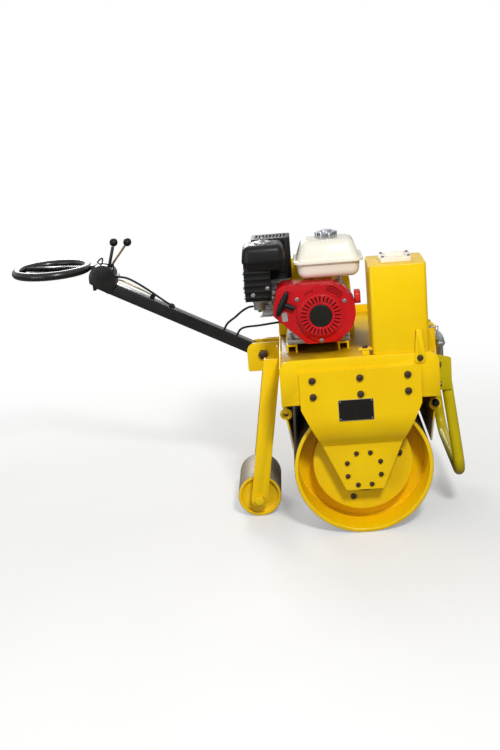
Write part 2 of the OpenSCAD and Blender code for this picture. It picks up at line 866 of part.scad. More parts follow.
module lug_chain() {
    link_bow = link_r - sqrt(link_r * link_r - lug_t * lug_t / 4);
    first_x = lug_x + lug_hole_r - link_wire_r - link_bow - 2 * seat_gap + link_r;
    pitch = 2 * (link_r - link_wire_r) - seat_gap;
    top = lug_hole_z - link_r + 2 * link_wire_r + seat_gap;
    color("silver") placed() {
        translate([first_x, lug_y, lug_hole_z]) link_ring();
        for (i = [1 : chain_links - 1])
            translate([first_x + link_r, lug_y, top - (i - 1) * pitch])
                rotate([90, 0, i % 2 == 1 ? 0 : 90]) link_ring();
    }
}

// Front guard: a U of round tube that leans back to its two brackets
guard_half = guard_span / 2;
guard_bend_r = 62;
guard_top_drop = 24;
bracket_top_drop = 10;
guard_top_z = deck_z - bracket_top_drop - guard_top_drop;
guard_lean = 6.5;
guard_leg_l = (guard_top_z - guard_low_z) / cos(guard_lean);

module front_guard() {
    color("gold") placed() translate([guard_foot_x, 0, guard_low_z]) rotate([0, -guard_lean, 0]) {
        rod([0, -guard_half + guard_bend_r, 0], [0, guard_half - guard_bend_r, 0], guard_tube_r);
        for (end = [0, 1]) mirror([0, end, 0]) {
            translate([0, guard_half - guard_bend_r, guard_bend_r]) rotate([0, 90, 0])
                rotate_extrude(angle = 90) translate([guard_bend_r, 0]) circle(r = guard_tube_r);
            rod([0, guard_half, guard_bend_r], [0, guard_half, guard_leg_l], guard_tube_r);
        }
    }
}

// Sheet brackets that hold the guard's legs to the front plate
bracket_t = 6;
bracket_below = 12;
bracket_l = 47;
bracket_low = panel_bottom - bracket_below;
bracket_high = deck_z - bracket_top_drop;
bracket_front = panel_half + bracket_l;
bracket_slope = 14;
bracket_flange_w = 34;

module guard_brackets() {
    y = -guard_half - guard_tube_r - seat_gap;
    back = panel_half + seat_gap;
    color("gold") placed() for (far = [false, true]) side(far) {
        wall_xz(y - bracket_t, y) polygon(rounded([
            [back, bracket_low, 0], [bracket_front, bracket_low, bracket_t],
            [bracket_front, bracket_high - bracket_slope, bracket_t], [back, bracket_high, 0]]));
        block([back, y - bracket_t - bracket_flange_w, bracket_low],
              [back + bracket_t, y - bracket_t + cut, bracket_high]);
    }
}

// Scraper: a shaft on two hangers with a blade beside the drum
scraper_in = 10;
scraper_below = 36;
scraper_x = panel_half - scraper_in;
scraper_z = panel_bottom - scraper_below;
scraper_shaft_r = 9;
scraper_half = 285;
hanger_half = 250;
hanger_t = 8;
hanger_w = 20;
blade_angle = 18;
blade_t = 5;
blade_half = 280;

module scraper() {
    tip = [(drum_r + run_gap) * cos(blade_angle), drum_r + (drum_r + run_gap) * sin(blade_angle)];
    middle = [scraper_x, scraper_z];
    way = unit(middle - tip);
    out = blade_t * [way.y, -way.x];
    cross_bar(scraper_x, scraper_z, scraper_shaft_r, -scraper_half, scraper_half);
    wall_xz(-blade_half, blade_half) polygon([tip, middle, middle + out, tip + out]);
    for (y = [-hanger_half, hanger_half])
        wall_xz(y - hanger_t / 2, y + hanger_t / 2) polygon([
            [scraper_x - hanger_w / 2, scraper_z], [scraper_x + hanger_w / 2, scraper_z],
            [panel_half - seat_gap, panel_bottom - seat_gap],
            [panel_half - hanger_w, panel_bottom - seat_gap]]);
}

module scraper_rear() { color("gold") placed() mirror([1, 0, 0]) scraper(); }

module scraper_front() { color("gold") placed() scraper(); }

// Knob on the front scraper's shaft
knob_r = 12;
knob_l = 30;

module knob(r, l) {
    rotate_extrude() polygon(concat(
        [[0, 0]],
        [for (i = [1 : corner_steps]) let (a = 180 * i / (corner_steps + 1)) [r * sin(a), l * (1 - cos(a)) / 2]],
        [[0, l]]));
}

module scraper_knob() {
    color("black") placed() translate([scraper_x, -scraper_half - seat_gap, scraper_z])
        rotate([90, 0, 0]) knob(knob_r, knob_l);
}

// Legs of the support roller: leaning channels with round feet
leg_w = 52;
leg_deep = 30;
leg_t = 6;
leg_top_z = 536;
leg_top_back = 22;
leg_lean = atan((roller_back - panel_half - leg_top_back) / (leg_top_z - roller_r));
leg_in = roller_w / 2 + run_gap;
leg_out = leg_in + leg_deep;

module leg_outline(half) {
    rotate([0, leg_lean, 0]) {
        block([-half, 0, 0], [half, leg_deep, leg_top_z]);
        rotate([-90, 0, 0]) cylinder(r = half, h = leg_deep);
    }
}

module roller_leg(far) {
    color("gold") placed() side(far) difference() {
        intersection() {
            translate([-roller_back, -leg_out, roller_r]) difference() {
                leg_outline(leg_w / 2);
                translate([0, leg_t, 0]) rotate([0, leg_lean, 0])
                    block([-leg_w / 2 + leg_t, 0, leg_w], [leg_w / 2 - leg_t, leg_deep + cut, leg_top_z + cut]);
            }
            block([-roller_back - leg_w, -leg_out - cut, 0], [-panel_half - seat_gap, -leg_in + cut, leg_top_z]);
        }
        cross_bar(-roller_back, roller_r, roller_axle_r + fit, -leg_out - cut, -leg_in + cut);
    }
}

module roller_leg_near() { roller_leg(false); }

module roller_leg_far() { roller_leg(true); }

// Support roller with dished ends and a through bore
roller_wall = 10;
roller_dish = 12;
roller_boss_r = 24;

module support_roller() {
    half = roller_w / 2;
    color("gold") placed() difference() {
        cross_bar(-roller_back, roller_r, roller_r, -half, half);
        for (far = [false, true]) side(far) difference() {
            cross_bar(-roller_back, roller_r, roller_r - roller_wall, -half - cut, -half + roller_dish);
            cross_bar(-roller_back, roller_r, roller_boss_r, -half - 2 * cut, -half + roller_dish + cut);
        }
        cross_bar(-roller_back, roller_r, roller_axle_r + fit, -half - cut, half + cut);
    }
}

axle_head_r = 17;
axle_head_h = 11;

module roller_axle() {
    color("gold") placed() {
        cross_bar(-roller_back, roller_r, roller_axle_r, -leg_out - seat_gap - cut, leg_out + seat_gap + cut);
        for (far = [false, true]) side(far)
            translate([-roller_back, -leg_out - seat_gap, roller_r]) rotate([90, 0, 0])
                cylinder(r = axle_head_r, h = axle_head_h, $fn = 6);
    }
}

// Handle bracket: two cheeks, a base plate and a lip under the handle
pivot_x = -pivot_back;
cheek_t = 8;
cheek_gap = 2;
cheek_in = handle_tube / 2 + cheek_gap;
cheek_behind = 51;
cheek_below = 55;
cheek_above = 38;
cheek_rear = pivot_back + cheek_behind;
cheek_low = pivot_z - cheek_below;
cheek_high = pivot_z + cheek_above;
cheek_corner_r = 26;
lip_t = 8;
base_half = 62;

module handle_bracket() {
    back = -panel_half - seat_gap;
    color("gold") placed() difference() {
        union() {
            for (far = [false, true]) side(far)
                wall_xz(-cheek_in - cheek_t, -cheek_in) polygon(rounded([
                    [back, cheek_low, 0], [back, cheek_high, lip_t],
                    [-cheek_rear, cheek_high, cheek_corner_r], [-cheek_rear, cheek_low, lip_t]]));
            block([back - lip_t, -base_half, cheek_low], [back, base_half, deck_z]);
            block([-cheek_rear + lip_t, -cheek_in - cut, cheek_low], [back - cut, cheek_in + cut, cheek_low + lip_t]);
        }
        cross_bar(pivot_x, pivot_z, pivot_r + fit, -cheek_in - cheek_t - cut, cheek_in + cheek_t + cut);
    }
}

pivot_head_r = 16;
pivot_head_h = 11;

module handle_pivot() {
    reach = cheek_in + cheek_t + seat_gap;
    color("dimgray") placed() {
        cross_bar(pivot_x, pivot_z, pivot_r, -reach - cut, reach + cut);
        for (far = [false, true]) side(far)
            translate([pivot_x, -reach, pivot_z]) rotate([90, 0, 0])
                cylinder(r = pivot_head_r, h = pivot_head_h, $fn = 6);
    }
}

// Height of the handle's underside at a distance behind the pivot
function under_z(back) = pivot_z + back * tan(handle_angle) - handle_tube / 2 / cos(handle_angle);

stop_l = 13;
stop_half = 20;

module handle_stop() {
    rear = cheek_rear - pivot_back - lip_t;
    color("black") placed() wall_xz(-stop_half, stop_half) polygon([
        [pivot_x - rear, cheek_low + lip_t + seat_gap], [pivot_x - rear + stop_l, cheek_low + lip_t + seat_gap],
        [pivot_x - rear + stop_l, under_z(rear - stop_l) - seat_gap], [pivot_x - rear, under_z(rear) - seat_gap]]);
}

// Square handle tube, cut upright where it meets the steering ring's plate
heel = 14;
arm_past = 66;
arm_end = head_back + arm_past;
handle_reach = (arm_end - pivot_back) / cos(handle_angle) + handle_tube;

module handle_arm() {
    half = handle_tube / 2;
    inner = half - handle_wall;
    color("black") placed() difference() {
        intersection() {
            translate([pivot_x, 0, pivot_z]) rotate([0, handle_angle, 0]) difference() {
                block([-handle_reach, -half, -half], [heel, half, half]);
                block([-handle_reach - cut, -inner, -inner], [heel + cut, inner, inner]);
            }
            block([-arm_end, -handle_tube, 0], [0, handle_tube, rear_reach]);
        }
        cross_bar(pivot_x, pivot_z, pivot_r + fit, -half - cut, half + cut);
    }
}

// Control head: a round-topped housing that straddles the tube, with a slot for the levers
// Its outline is given as [length share, height share, corner share of the length]
head_l = 84;
head_h = 95;
head_drop = 6;
head_cheek_t = 14;
head_shares = [[0, 0.42, 0.06], [0, 1, 0.47], [1, 1, 0.47], [1, 0.3, 0.1], [0.7, 0, 0.08]];
head_low_z = pivot_z + head_behind * tan(handle_angle) - head_drop;
head_top_z = head_low_z + head_h;
head_half = handle_tube / 2 + seat_gap + head_cheek_t;
lever_slot_half = 12;
lever_slot_deep = 16;
lever_slot_share = 0.62;

// Height of the tube's top face and its clearance at a distance behind the pivot
function over_z(back) = pivot_z + back * tan(handle_angle) + (handle_tube / 2 + seat_gap) / cos(handle_angle);

module control_head() {
    half = handle_tube / 2 + seat_gap;
    rear = -head_back - head_l;
    end = arm_end - seat_gap;
    slot_z = head_top_z - lever_slot_deep;
    color("black") placed() difference() {
        wall_xz(-head_half, head_half) polygon(rounded([for (s = head_shares)
            [rear + s[0] * head_l, head_low_z + s[1] * head_h, s[2] * head_l]]));
        wall_xz(-half, half) polygon([
            [-head_back + cut, head_low_z - cut], [-head_back + cut, over_z(head_behind - cut)],
            [-end, over_z(end - pivot_back)], [-end, head_top_z + cut],
            [rear - cut, head_top_z + cut], [rear - cut, head_low_z - cut]]);
        block([-head_back - lever_slot_share * head_l, -lever_slot_half, slot_z],
              [-head_back + cut, lever_slot_half, head_top_z + cut]);
    }
}

// Two control levers, as [foot x, tip x, tip z, y] shares of the head's sizes and a share of the radius
lever_r = 5;
lever_shares = [[0.24, 0, 0.56, -0.18, 1], [0.2, -0.44, 0.54, 0.18, 0.7]];
lever_knob_r = 13;
lever_knob_l = 27;

function lever_seat(s) = [-head_back - s[0] * head_l, s[3] * head_half, head_top_z - lever_slot_deep + seat_gap];
function lever_tip(s) = [-head_back - s[1] * head_l, s[3] * head_half, head_top_z + s[2] * head_h];
// The foot is raised so that the leaning rod's end clears the head
function lever_foot(s) =
    let (way = unit(lever_tip(s) - lever_seat(s)))
    lever_seat(s) + [0, 0, s[4] * lever_r * norm([way.x, way.y])];

module lever_rods() {
    color("black") placed() for (s = lever_shares) rod(lever_foot(s), lever_tip(s), s[4] * lever_r);
}

module lever_knobs() {
    color("black") placed() for (s = lever_shares) {
        way = unit(lever_tip(s) - lever_foot(s));
        translate(lever_tip(s) + seat_gap * way)
            rotate([0, acos(way.z), atan2(way.y, way.x)]) knob(lever_knob_r, lever_knob_l);
    }
}

// Steering ring with its dished plate and a flat bar that crosses it aslant
ring_drop = 8;
ring_z = head_top_z - ring_drop;
dish_t = 4;
dish_drop = 9;
bar_t = 8;
bar_half = 12;
bar_rise = 5;
bar_skew = 16;

module handle_ring() {
    bar_l = 2 * ring_r * cos(bar_skew);
    color("black") placed() translate([-ring_back, 0, ring_z]) {
        rotate_extrude() translate([ring_r, 0]) circle(r = ring_tube_r);
        translate([0, 0, -dish_drop]) cylinder(r = ring_r, h = dish_t);
        translate([ring_r, 0, bar_rise - bar_t]) rotate([0, 0, -bar_skew])
            block([-bar_l, -bar_half, 0], [0, bar_half, bar_t]);
    }
}

// Plate on the end of the tube that carries the ring
plate_below = 28;
plate_above = 8;

module ring_bar() {
    half = handle_tube / 2 - seat_gap;
    end_z = pivot_z + (arm_end - pivot_back) * tan(handle_angle);
    color("black") placed()
        block([-ring_back + ring_r + ring_tube_r + seat_gap, -half, end_z - plate_below],
              [-arm_end - seat_gap, half, ring_z + plate_above]);
}

// Control cables: swept tubes along routes chosen by hand, in the machine's frame
cable_r = 3.5;
cable_sides = 8;
// A way that no cable runs along, from which the corners of its sections are counted
cable_corner_way = [0.3, 0.5, 0.8];
head_route = [[-737.6, -8, 806], [-724, -8, 806], [-702, -8, 800], [-674, -8, 783], [-647, -8, 763],
    [-622, -8, 743], [-600, -8, 724.5], [-580, -8, 708.5], [-560, -8, 695]];
throttle_route = [[-407.8, 0, 609.3], [-402.2, 0, 619.9], [-394, -6, 631], [-381, -20, 643], [-369, -38, 654],
    [-357, -56, 667], [-345, -72, 679], [-330, -86, 690.5], [-317, -94, 696.8], [-305.2, -96.3, 698]];
drive_route = [[-367.8, 0, 588], [-362.6, 0, 597.9], [-354.5, -2.5, 606.3], [-343, -7.5, 611.8],
    [-326, -17, 616], [-305, -32, 620], [-280, -50, 626], [-255, -66, 632], [-230, -78, 637],
    [-210, -86, 641], [-198, -88, 642], [-188.4, -88, 642]];

function ring_at(route, i) =
    let (n = len(route),
         t = unit(route[min(i + 1, n - 1)] - route[max(i - 1, 0)]),
         u = unit(cross(t, cable_corner_way)),
         v = cross(t, u))
    [for (k = [0 : cable_sides - 1]) let (a = 360 * k / cable_sides)
        route[i] + cable_r * (cos(a) * u + sin(a) * v)];

module cable(route) {
    n = len(route);
    s = cable_sides;
    polyhedron(
        points = [for (i = [0 : n - 1]) each ring_at(route, i)],
        faces = concat(
            [[for (k = [0 : s - 1]) k]],
            [for (i = [0 : n - 2], k = [0 : s - 1])
                [i * s + k, (i + 1) * s + k, (i + 1) * s + (k + 1) % s, i * s + (k + 1) % s]],
            [[for (k = [s - 1 : -1 : 0]) (n - 1) * s + k]]));
}

module head_cable() { color("black") placed() cable(head_route); }

module throttle_cable() { color("black") placed() cable(throttle_route); }

module drive_cable() { color("black") placed() cable(drive_route); }

frame_side_near();
frame_side_far();
frame_deck();
frame_rear_plate();
frame_front_plate();
side_arm_near();
side_arm_far();
hub_near();
hub_far();
drum_shell();
drum_webs();
drum_hub_near();
drum_hub_far();
engine_rails();
engine_block();
fan_shroud();
starter_cover();
starter_grip();
fuel_tank();
fuel_cap();
air_cleaner();
carburettor();
muffler();
engine_switch();
belt_guard();
water_tank();
tank_cover();
tank_strap();
water_pipe();
tie_lug();
lug_chain();
guard_brackets();
front_guard();
scraper_rear();
scraper_front();
scraper_knob();
roller_leg_near();
roller_leg_far();
support_roller();
roller_axle();
handle_bracket();
handle_pivot();
handle_stop();
handle_arm();
control_head();
lever_rods();
lever_knobs();
handle_ring();
ring_bar();
head_cable();
throttle_cable();
drive_cable();
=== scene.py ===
"""Looks of a walk-behind roller: rounded sheet metal, fasteners, engine trim, cables and finishes."""

import json
import math

import bmesh
import bpy
from bpy.props import FloatProperty, FloatVectorProperty, IntProperty, PointerProperty
from bpy.types import Operator, Panel, PropertyGroup
from mathutils import Matrix, Vector

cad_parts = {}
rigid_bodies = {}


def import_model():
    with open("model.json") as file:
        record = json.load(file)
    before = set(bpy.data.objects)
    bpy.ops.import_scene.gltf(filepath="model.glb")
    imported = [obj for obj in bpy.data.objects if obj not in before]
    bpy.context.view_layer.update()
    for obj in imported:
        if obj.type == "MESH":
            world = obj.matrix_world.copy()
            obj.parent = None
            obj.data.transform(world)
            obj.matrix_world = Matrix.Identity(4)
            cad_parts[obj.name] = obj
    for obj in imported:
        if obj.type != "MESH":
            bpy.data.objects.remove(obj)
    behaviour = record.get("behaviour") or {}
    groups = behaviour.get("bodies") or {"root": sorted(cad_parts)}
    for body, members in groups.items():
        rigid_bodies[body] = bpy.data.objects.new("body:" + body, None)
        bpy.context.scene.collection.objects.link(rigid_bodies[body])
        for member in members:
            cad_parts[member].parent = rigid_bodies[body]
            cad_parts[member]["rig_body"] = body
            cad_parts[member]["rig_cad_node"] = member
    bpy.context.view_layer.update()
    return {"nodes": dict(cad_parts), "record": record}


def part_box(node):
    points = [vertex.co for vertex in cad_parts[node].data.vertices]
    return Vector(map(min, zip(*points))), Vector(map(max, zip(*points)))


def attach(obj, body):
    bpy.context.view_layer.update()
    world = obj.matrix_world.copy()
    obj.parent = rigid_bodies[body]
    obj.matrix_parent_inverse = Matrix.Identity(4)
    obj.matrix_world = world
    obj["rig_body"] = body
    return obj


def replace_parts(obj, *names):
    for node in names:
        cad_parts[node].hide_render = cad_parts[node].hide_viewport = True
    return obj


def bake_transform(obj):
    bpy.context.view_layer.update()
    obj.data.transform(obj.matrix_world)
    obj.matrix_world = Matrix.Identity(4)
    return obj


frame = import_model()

bl_info = {
    "name": "Walk-behind roller looks",
    "version": (1, 0, 0),
    "blender": (4, 5, 0),
    "location": "3D View > Sidebar > Roller",
    "description": "Dresses the packed roller with its fasteners, trim, cables, finishes and studio",
    "category": "Object",
}

DRUM_LOW, DRUM_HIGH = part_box("drum_shell")
AXLE = (DRUM_LOW + DRUM_HIGH) / 2
DRUM_R = (DRUM_HIGH.z - DRUM_LOW.z) / 2
NEAR, FAR = Vector((0, -1, 0)), Vector((0, 1, 0))
UP, FRONT, REAR = Vector((0, 0, 1)), Vector((1, 0, 0)), Vector((-1, 0, 0))
BODY_OF = {node: name for name, nodes in frame["record"]["behaviour"]["bodies"].items() for node in nodes}


def linear(code):
    """Linear colour of an sRGB hex code."""
    parts = [int(code[i:i + 2], 16) / 255 for i in (0, 2, 4)]
    return tuple(p / 12.92 if p <= 0.04045 else ((p + 0.055) / 1.055) ** 2.4 for p in parts)


def mm(size):
    """Metres of a size in millimetres."""
    return size / 1000


def at(x, y, z):
    """Place of a point given in millimetres from the drum's axis, the middle plane and the ground."""
    return Vector((AXLE.x + mm(x), mm(y), mm(z)))


class RollerColours(PropertyGroup):
    """Colours of the main finishes"""

    yellow: FloatVectorProperty(
        name="Yellow enamel", description="Sheet metal of the machine", subtype="COLOR", size=3,
        min=0, max=1, default=linear("F2CA00"))
    red: FloatVectorProperty(
        name="Red enamel", description="Fan shroud and starter of the engine", subtype="COLOR", size=3,
        min=0, max=1, default=linear("C00C17"))
    cream: FloatVectorProperty(
        name="Cream enamel", description="Fuel tank", subtype="COLOR", size=3,
        min=0, max=1, default=linear("E9E6DA"))
    black: FloatVectorProperty(
        name="Black paint", description="Handle, control head and steering ring", subtype="COLOR", size=3,
        min=0, max=1, default=linear("0A0A0A"))
    floor: FloatVectorProperty(
        name="Floor", description="Studio floor", subtype="COLOR", size=3,
        min=0, max=1, default=linear("EDEDEB"))


class RollerSizes(PropertyGroup):
    """Sizes of the pieces that are added to the frame"""

    arm_bolt: FloatProperty(
        name="Arm bolt", description="Width across the flats of the arm bolts", unit="LENGTH", default=mm(17))
    hub_bolt: FloatProperty(
        name="Hub bolt", description="Width across the flats of the hub bolts", unit="LENGTH", default=mm(12))
    disc_bolt: FloatProperty(
        name="Disc bolt", description="Width across the flats of the drum disc's bolts", unit="LENGTH",
        default=mm(15))
    small_bolt: FloatProperty(
        name="Small bolt", description="Width across the flats of the trim bolts", unit="LENGTH",
        default=mm(10))
    hub_bolt_ring: FloatProperty(
        name="Hub bolt ring", description="Radius of the ring of hub bolts", unit="LENGTH", default=mm(55))
    hub_bolt_count: IntProperty(name="Hub bolts", description="Number of bolts round each hub", default=8)
    disc_bolt_ring: FloatProperty(
        name="Disc bolt ring", description="Radius of the bolts on the drum's disc", unit="LENGTH",
        default=mm(116))
    cable: FloatProperty(
        name="Cable", description="Diameter of the control cables", unit="LENGTH", default=mm(7))
    plate_length: FloatProperty(
        name="Plate length", description="Length of the blank name plate", unit="LENGTH", default=mm(105))
    plate_height: FloatProperty(
        name="Plate height", description="Height of the blank name plate", unit="LENGTH", default=mm(66))
    lens: FloatProperty(name="Lens", description="Focal length of the camera in millimetres", default=86.3)


def colours():
    """The scene's finish colours."""
    return bpy.context.scene.roller_colours


def sizes():
    """The scene's piece sizes."""
    return bpy.context.scene.roller_sizes


# Finishes

def add(tree, kind, settings=None, links=None):
    """Adds a shader node with its settings, and links it to sockets or to the first outputs of nodes."""
    node = tree.nodes.new("ShaderNode" + kind)
    for key, value in (settings or {}).items():
        if key == "ramp":
            for stop, (place, colour) in zip(node.color_ramp.elements, value):
                stop.position, stop.color = place, colour
        elif isinstance(key, int) or key in node.inputs:
            node.inputs[key].default_value = value
        else:
            setattr(node, key, value)
    for key, source in (links or {}).items():
        socket = source if isinstance(source, bpy.types.NodeSocket) else source.outputs[0]
        tree.links.new(socket, node.inputs[key])
    return node


def surface(name, **fixed):
    """A new finish: its material, node tree, shader and place on the piece in metres."""
    mat = bpy.data.materials.new(name)
    mat.use_nodes = True
    tree = mat.node_tree
    tree.nodes.clear()
    shader = add(tree, "BsdfPrincipled", fixed)
    add(tree, "OutputMaterial", links={"Surface": shader})
    place = add(tree, "TexCoord").outputs["Object"]
    return mat, tree, shader, place


def per(size):
    """Texture scale of a pattern whose grain is that many millimetres."""
    return 1000 / size


def rgba(colour):
    """Linear colour with alpha, from linear parts or from an sRGB hex code."""
    return (*(linear(colour) if isinstance(colour, str) else colour[:3]), 1)


# Height up to which dust lies on the paint
DUST_TOP = mm(400)


def wet_look(tree, shader, place, base, deep, rough, peel, dust=0.0):
    """Colour, gloss and orange peel of a sprayed coat, with a film of dust low down."""
    broad = add(tree, "TexNoise", {"Scale": per(170), "Detail": 3.0}, {"Vector": place})
    fine = add(tree, "TexNoise", {"Scale": per(28), "Detail": 7.0, "Roughness": 0.62}, {"Vector": place})
    spread = add(tree, "MapRange", {"From Min": 0.35, "From Max": 0.7}, {"Value": broad})
    tone = add(tree, "Mix", {"data_type": "RGBA", 6: rgba(base), 7: rgba(deep)}, {0: spread}).outputs[2]
    gloss = add(tree, "MapRange",
                {"From Min": 0.3, "From Max": 0.8, "To Min": rough, "To Max": rough + 0.18},
                {"Value": fine}).outputs[0]
    if dust:
        height = add(tree, "SeparateXYZ", links={0: place}).outputs["Z"]
        low = add(tree, "MapRange", {"From Min": DUST_TOP, "From Max": 0.0, "To Max": dust},
                  {"Value": height})
        patch = add(tree, "MapRange", {"From Min": 0.42, "From Max": 0.72}, {"Value": fine})
        film = add(tree, "Math", {"operation": "MULTIPLY"}, {0: low, 1: patch})
        tone = add(tree, "Mix", {"data_type": "RGBA", 7: rgba("9A8457")}, {0: film, 6: tone}).outputs[2]
        gloss = add(tree, "Math", {"operation": "ADD"}, {0: gloss, 1: film}).outputs[0]
    skin = add(tree, "TexNoise", {"Scale": per(3), "Detail": 2.0}, {"Vector": place})
    bump = add(tree, "Bump", {"Strength": peel, "Distance": mm(0.4)}, {"Height": skin})
    tree.links.new(tone, shader.inputs["Base Color"])
    tree.links.new(gloss, shader.inputs["Roughness"])
    tree.links.new(bump.outputs[0], shader.inputs["Normal"])
    return tone, gloss


def coat(name, base, deep, rough, peel, fixed):
    """A plain coat or moulding, with these values fixed on its shader."""
    mat, tree, shader, place = surface(name, **fixed)
    wet_look(tree, shader, place, base, deep, rough, peel)
    return mat


def enamel(name, base, deep):
    """Machine enamel sprayed on steel: a warm gloss with orange peel, small chips and some dust low down."""
    mat, tree, shader, place = surface(name, **{"Coat Weight": 0.05, "Coat Roughness": 0.1, "IOR": 1.5,
                                                "Specular IOR Level": 0.28})
    tone = wet_look(tree, shader, place, base, deep, 0.24, 0.05, dust=0.14)[0]
    chip = add(tree, "TexNoise", {"Scale": per(13), "Detail": 3.0, "Roughness": 0.7}, {"Vector": place})
    bare = add(tree, "MapRange", {"From Min": 0.745, "From Max": 0.76}, {"Value": chip})
    worn = add(tree, "Mix", {"data_type": "RGBA", 7: rgba("6A5733")}, {0: bare, 6: tone})
    tree.links.new(worn.outputs[2], shader.inputs["Base Color"])
    return mat


def yellow_enamel():
    """Chrome-yellow enamel of the whole machine."""
    return enamel("yellow_enamel", colours().yellow, "EDC100")


def guard_enamel_painted_shade():
    """The same enamel painted greener and duller on the front guard and its brackets: painted shade with a
    painted green reflection.
    """
    return enamel("guard_enamel_painted_shade", "CBBB00", "BCA600")


def deck_enamel():
    """The deck's enamel, browned round the engine: partly an oily film that the engine has left under itself,
    partly painted shade under and beside the engine.
    """
    mat, tree, shader, place = surface("deck_enamel", **{"IOR": 1.5, "Specular IOR Level": 0.1})
    tone = wet_look(tree, shader, place, colours().yellow, "E4B800", 0.26, 0.05)[0]
    low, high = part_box("engine_block")
    local = add(tree, "VectorMath", {"operation": "SUBTRACT", 1: (low + high) / 2}, {0: place})
    flat = add(tree, "VectorMath", {"operation": "MULTIPLY", 1: (1, 1, 0)}, {0: local})
    reach = add(tree, "VectorMath", {"operation": "LENGTH"}, {0: flat})
    blot = add(tree, "TexNoise", {"Scale": per(60), "Detail": 5.0}, {"Vector": place})
    ragged = add(tree, "Math", {"operation": "MULTIPLY_ADD", 1: mm(110), 2: -mm(55)}, {0: blot})
    edge = add(tree, "Math", {"operation": "ADD"}, {0: reach.outputs[1], 1: ragged})
    # Dark brown round the engine's middle: partly the engine's oily film, partly painted shade under and
    # beside the engine
    film = add(tree, "MapRange", {"From Min": mm(265), "From Max": mm(150), "To Max": 0.82},
               {"Value": edge})
    oil_and_shade = add(tree, "Mix", {"data_type": "RGBA", 7: rgba("5A3413")}, {0: film, 6: tone})
    tree.links.new(oil_and_shade.outputs[2], shader.inputs["Base Color"])
    return mat


def scraper_enamel():
    """Yellow enamel on the scraper's plate, over a pale nylon wiping edge that is scuffed matt."""
    mat, tree, shader, place = surface("scraper_enamel", **{"IOR": 1.5, "Specular IOR Level": 0.4})
    tone = wet_look(tree, shader, place, colours().yellow, "E2B000", 0.3, 0.06)[0]
    height = add(tree, "SeparateXYZ", links={0: place}).outputs["Z"]
    low = add(tree, "MapRange", {"From Min": mm(345), "From Max": mm(344)}, {"Value": height}).outputs[0]
    scuff = add(tree, "TexNoise", {"Scale": per(9), "Detail": 6.0}, {"Vector": place})
    pale = add(tree, "Mix", {"data_type": "RGBA", 6: rgba("CDBD96"), 7: rgba("A89A78")}, {0: scuff})
    both = add(tree, "Mix", {"data_type": "RGBA"}, {0: low, 6: tone, 7: pale.outputs[2]})
    tree.links.new(both.outputs[2], shader.inputs["Base Color"])
    return mat


def rolled_steel(name, axis, radius, dusty, dark, bright, shine):
    """Rolled steel worn bright round its rim by the ground, with yellow enamel inside that radius."""
    mat, tree, shader, place = surface(name, **{"IOR": 1.5})
    tone, gloss = wet_look(tree, shader, place, colours().yellow, "EDC100", 0.24, 0.05, dust=0.06)
    local = add(tree, "VectorMath", {"operation": "SUBTRACT", 1: axis}, {0: place})
    part = add(tree, "SeparateXYZ", links={0: local})
    turn = add(tree, "Math", {"operation": "ARCTAN2"}, {0: part.outputs["Z"], 1: part.outputs["X"]})
    flat = add(tree, "CombineXYZ", links={0: part.outputs["X"], 1: part.outputs["Z"]})
    reach = add(tree, "VectorMath", {"operation": "LENGTH"}, {0: flat})
    rim = add(tree, "MapRange", {"From Min": radius - mm(1.5), "From Max": radius - mm(0.4)},
              {"Value": reach.outputs[1]}).outputs[0]
    # Rolling scratches run round the rim. Their length and width in millimetres are coarse enough to show
    length, width = 120, 2
    round_way = add(tree, "Math", {"operation": "MULTIPLY", 1: radius}, {0: turn})
    across = add(tree, "Math", {"operation": "MULTIPLY", 1: length / width}, {0: part.outputs["Y"]})
    grain_at = add(tree, "CombineXYZ", links={0: round_way, 1: across})
    grain = add(tree, "TexNoise", {"Scale": per(length), "Detail": 5.0, "Roughness": 0.7},
                {"Vector": grain_at})
    stain = add(tree, "TexNoise", {"Scale": per(70), "Detail": 6.0, "Roughness": 0.65}, {"Vector": place})
    steel = add(tree, "ValToRGB", {"ramp": [(0.32, rgba(dark)), (0.7, rgba(bright))]}, {"Fac": grain})
    soil = add(tree, "MapRange", {"From Min": 0.62 - dusty, "From Max": 0.85 - dusty / 2}, {"Value": stain})
    worn = add(tree, "Mix", {"data_type": "RGBA", 7: rgba("8A7658")}, {0: soil, 6: steel})
    colour = add(tree, "Mix", {"data_type": "RGBA"}, {0: rim, 6: tone, 7: worn.outputs[2]})
    rough = add(tree, "MapRange", {"To Min": 0.38, "To Max": 0.62}, {"Value": grain})
    both = add(tree, "Mix", {}, {0: rim, 2: gloss, 3: rough})
    bare = add(tree, "Math", {"operation": "MULTIPLY", 1: shine}, {0: rim})
    tree.links.new(colour.outputs[2], shader.inputs["Base Color"])
    tree.links.new(both.outputs[0], shader.inputs["Roughness"])
    tree.links.new(bare.outputs[0], shader.inputs["Metallic"])
    return mat


def drum_steel():
    """Dark mill-scaled steel of the drum, rubbed to a dull gleam."""
    return rolled_steel("drum_steel", AXLE, DRUM_R, 0.05, "1F1815", "54483F", 0.5)


def roller_steel():
    """Paler dusty steel of the support roller."""
    low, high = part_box("support_roller")
    return rolled_steel("roller_steel", (low + high) / 2, (high.z - low.z) / 2, 0.3, "776E61", "B3A892", 0.2)


# Shader values of stoved gloss enamel, and the share of the starter's radius that its slots reach
STOVED = {"Coat Weight": 0.15, "Coat Roughness": 0.06, "IOR": 1.5, "Specular IOR Level": 0.35}
SLOT_SHARE = 0.903


def red_enamel():
    """Stoved red enamel on pressed sheet: a deep wet gloss."""
    return coat("red_enamel", colours().red, "AE0913", 0.2, 0.05, STOVED)


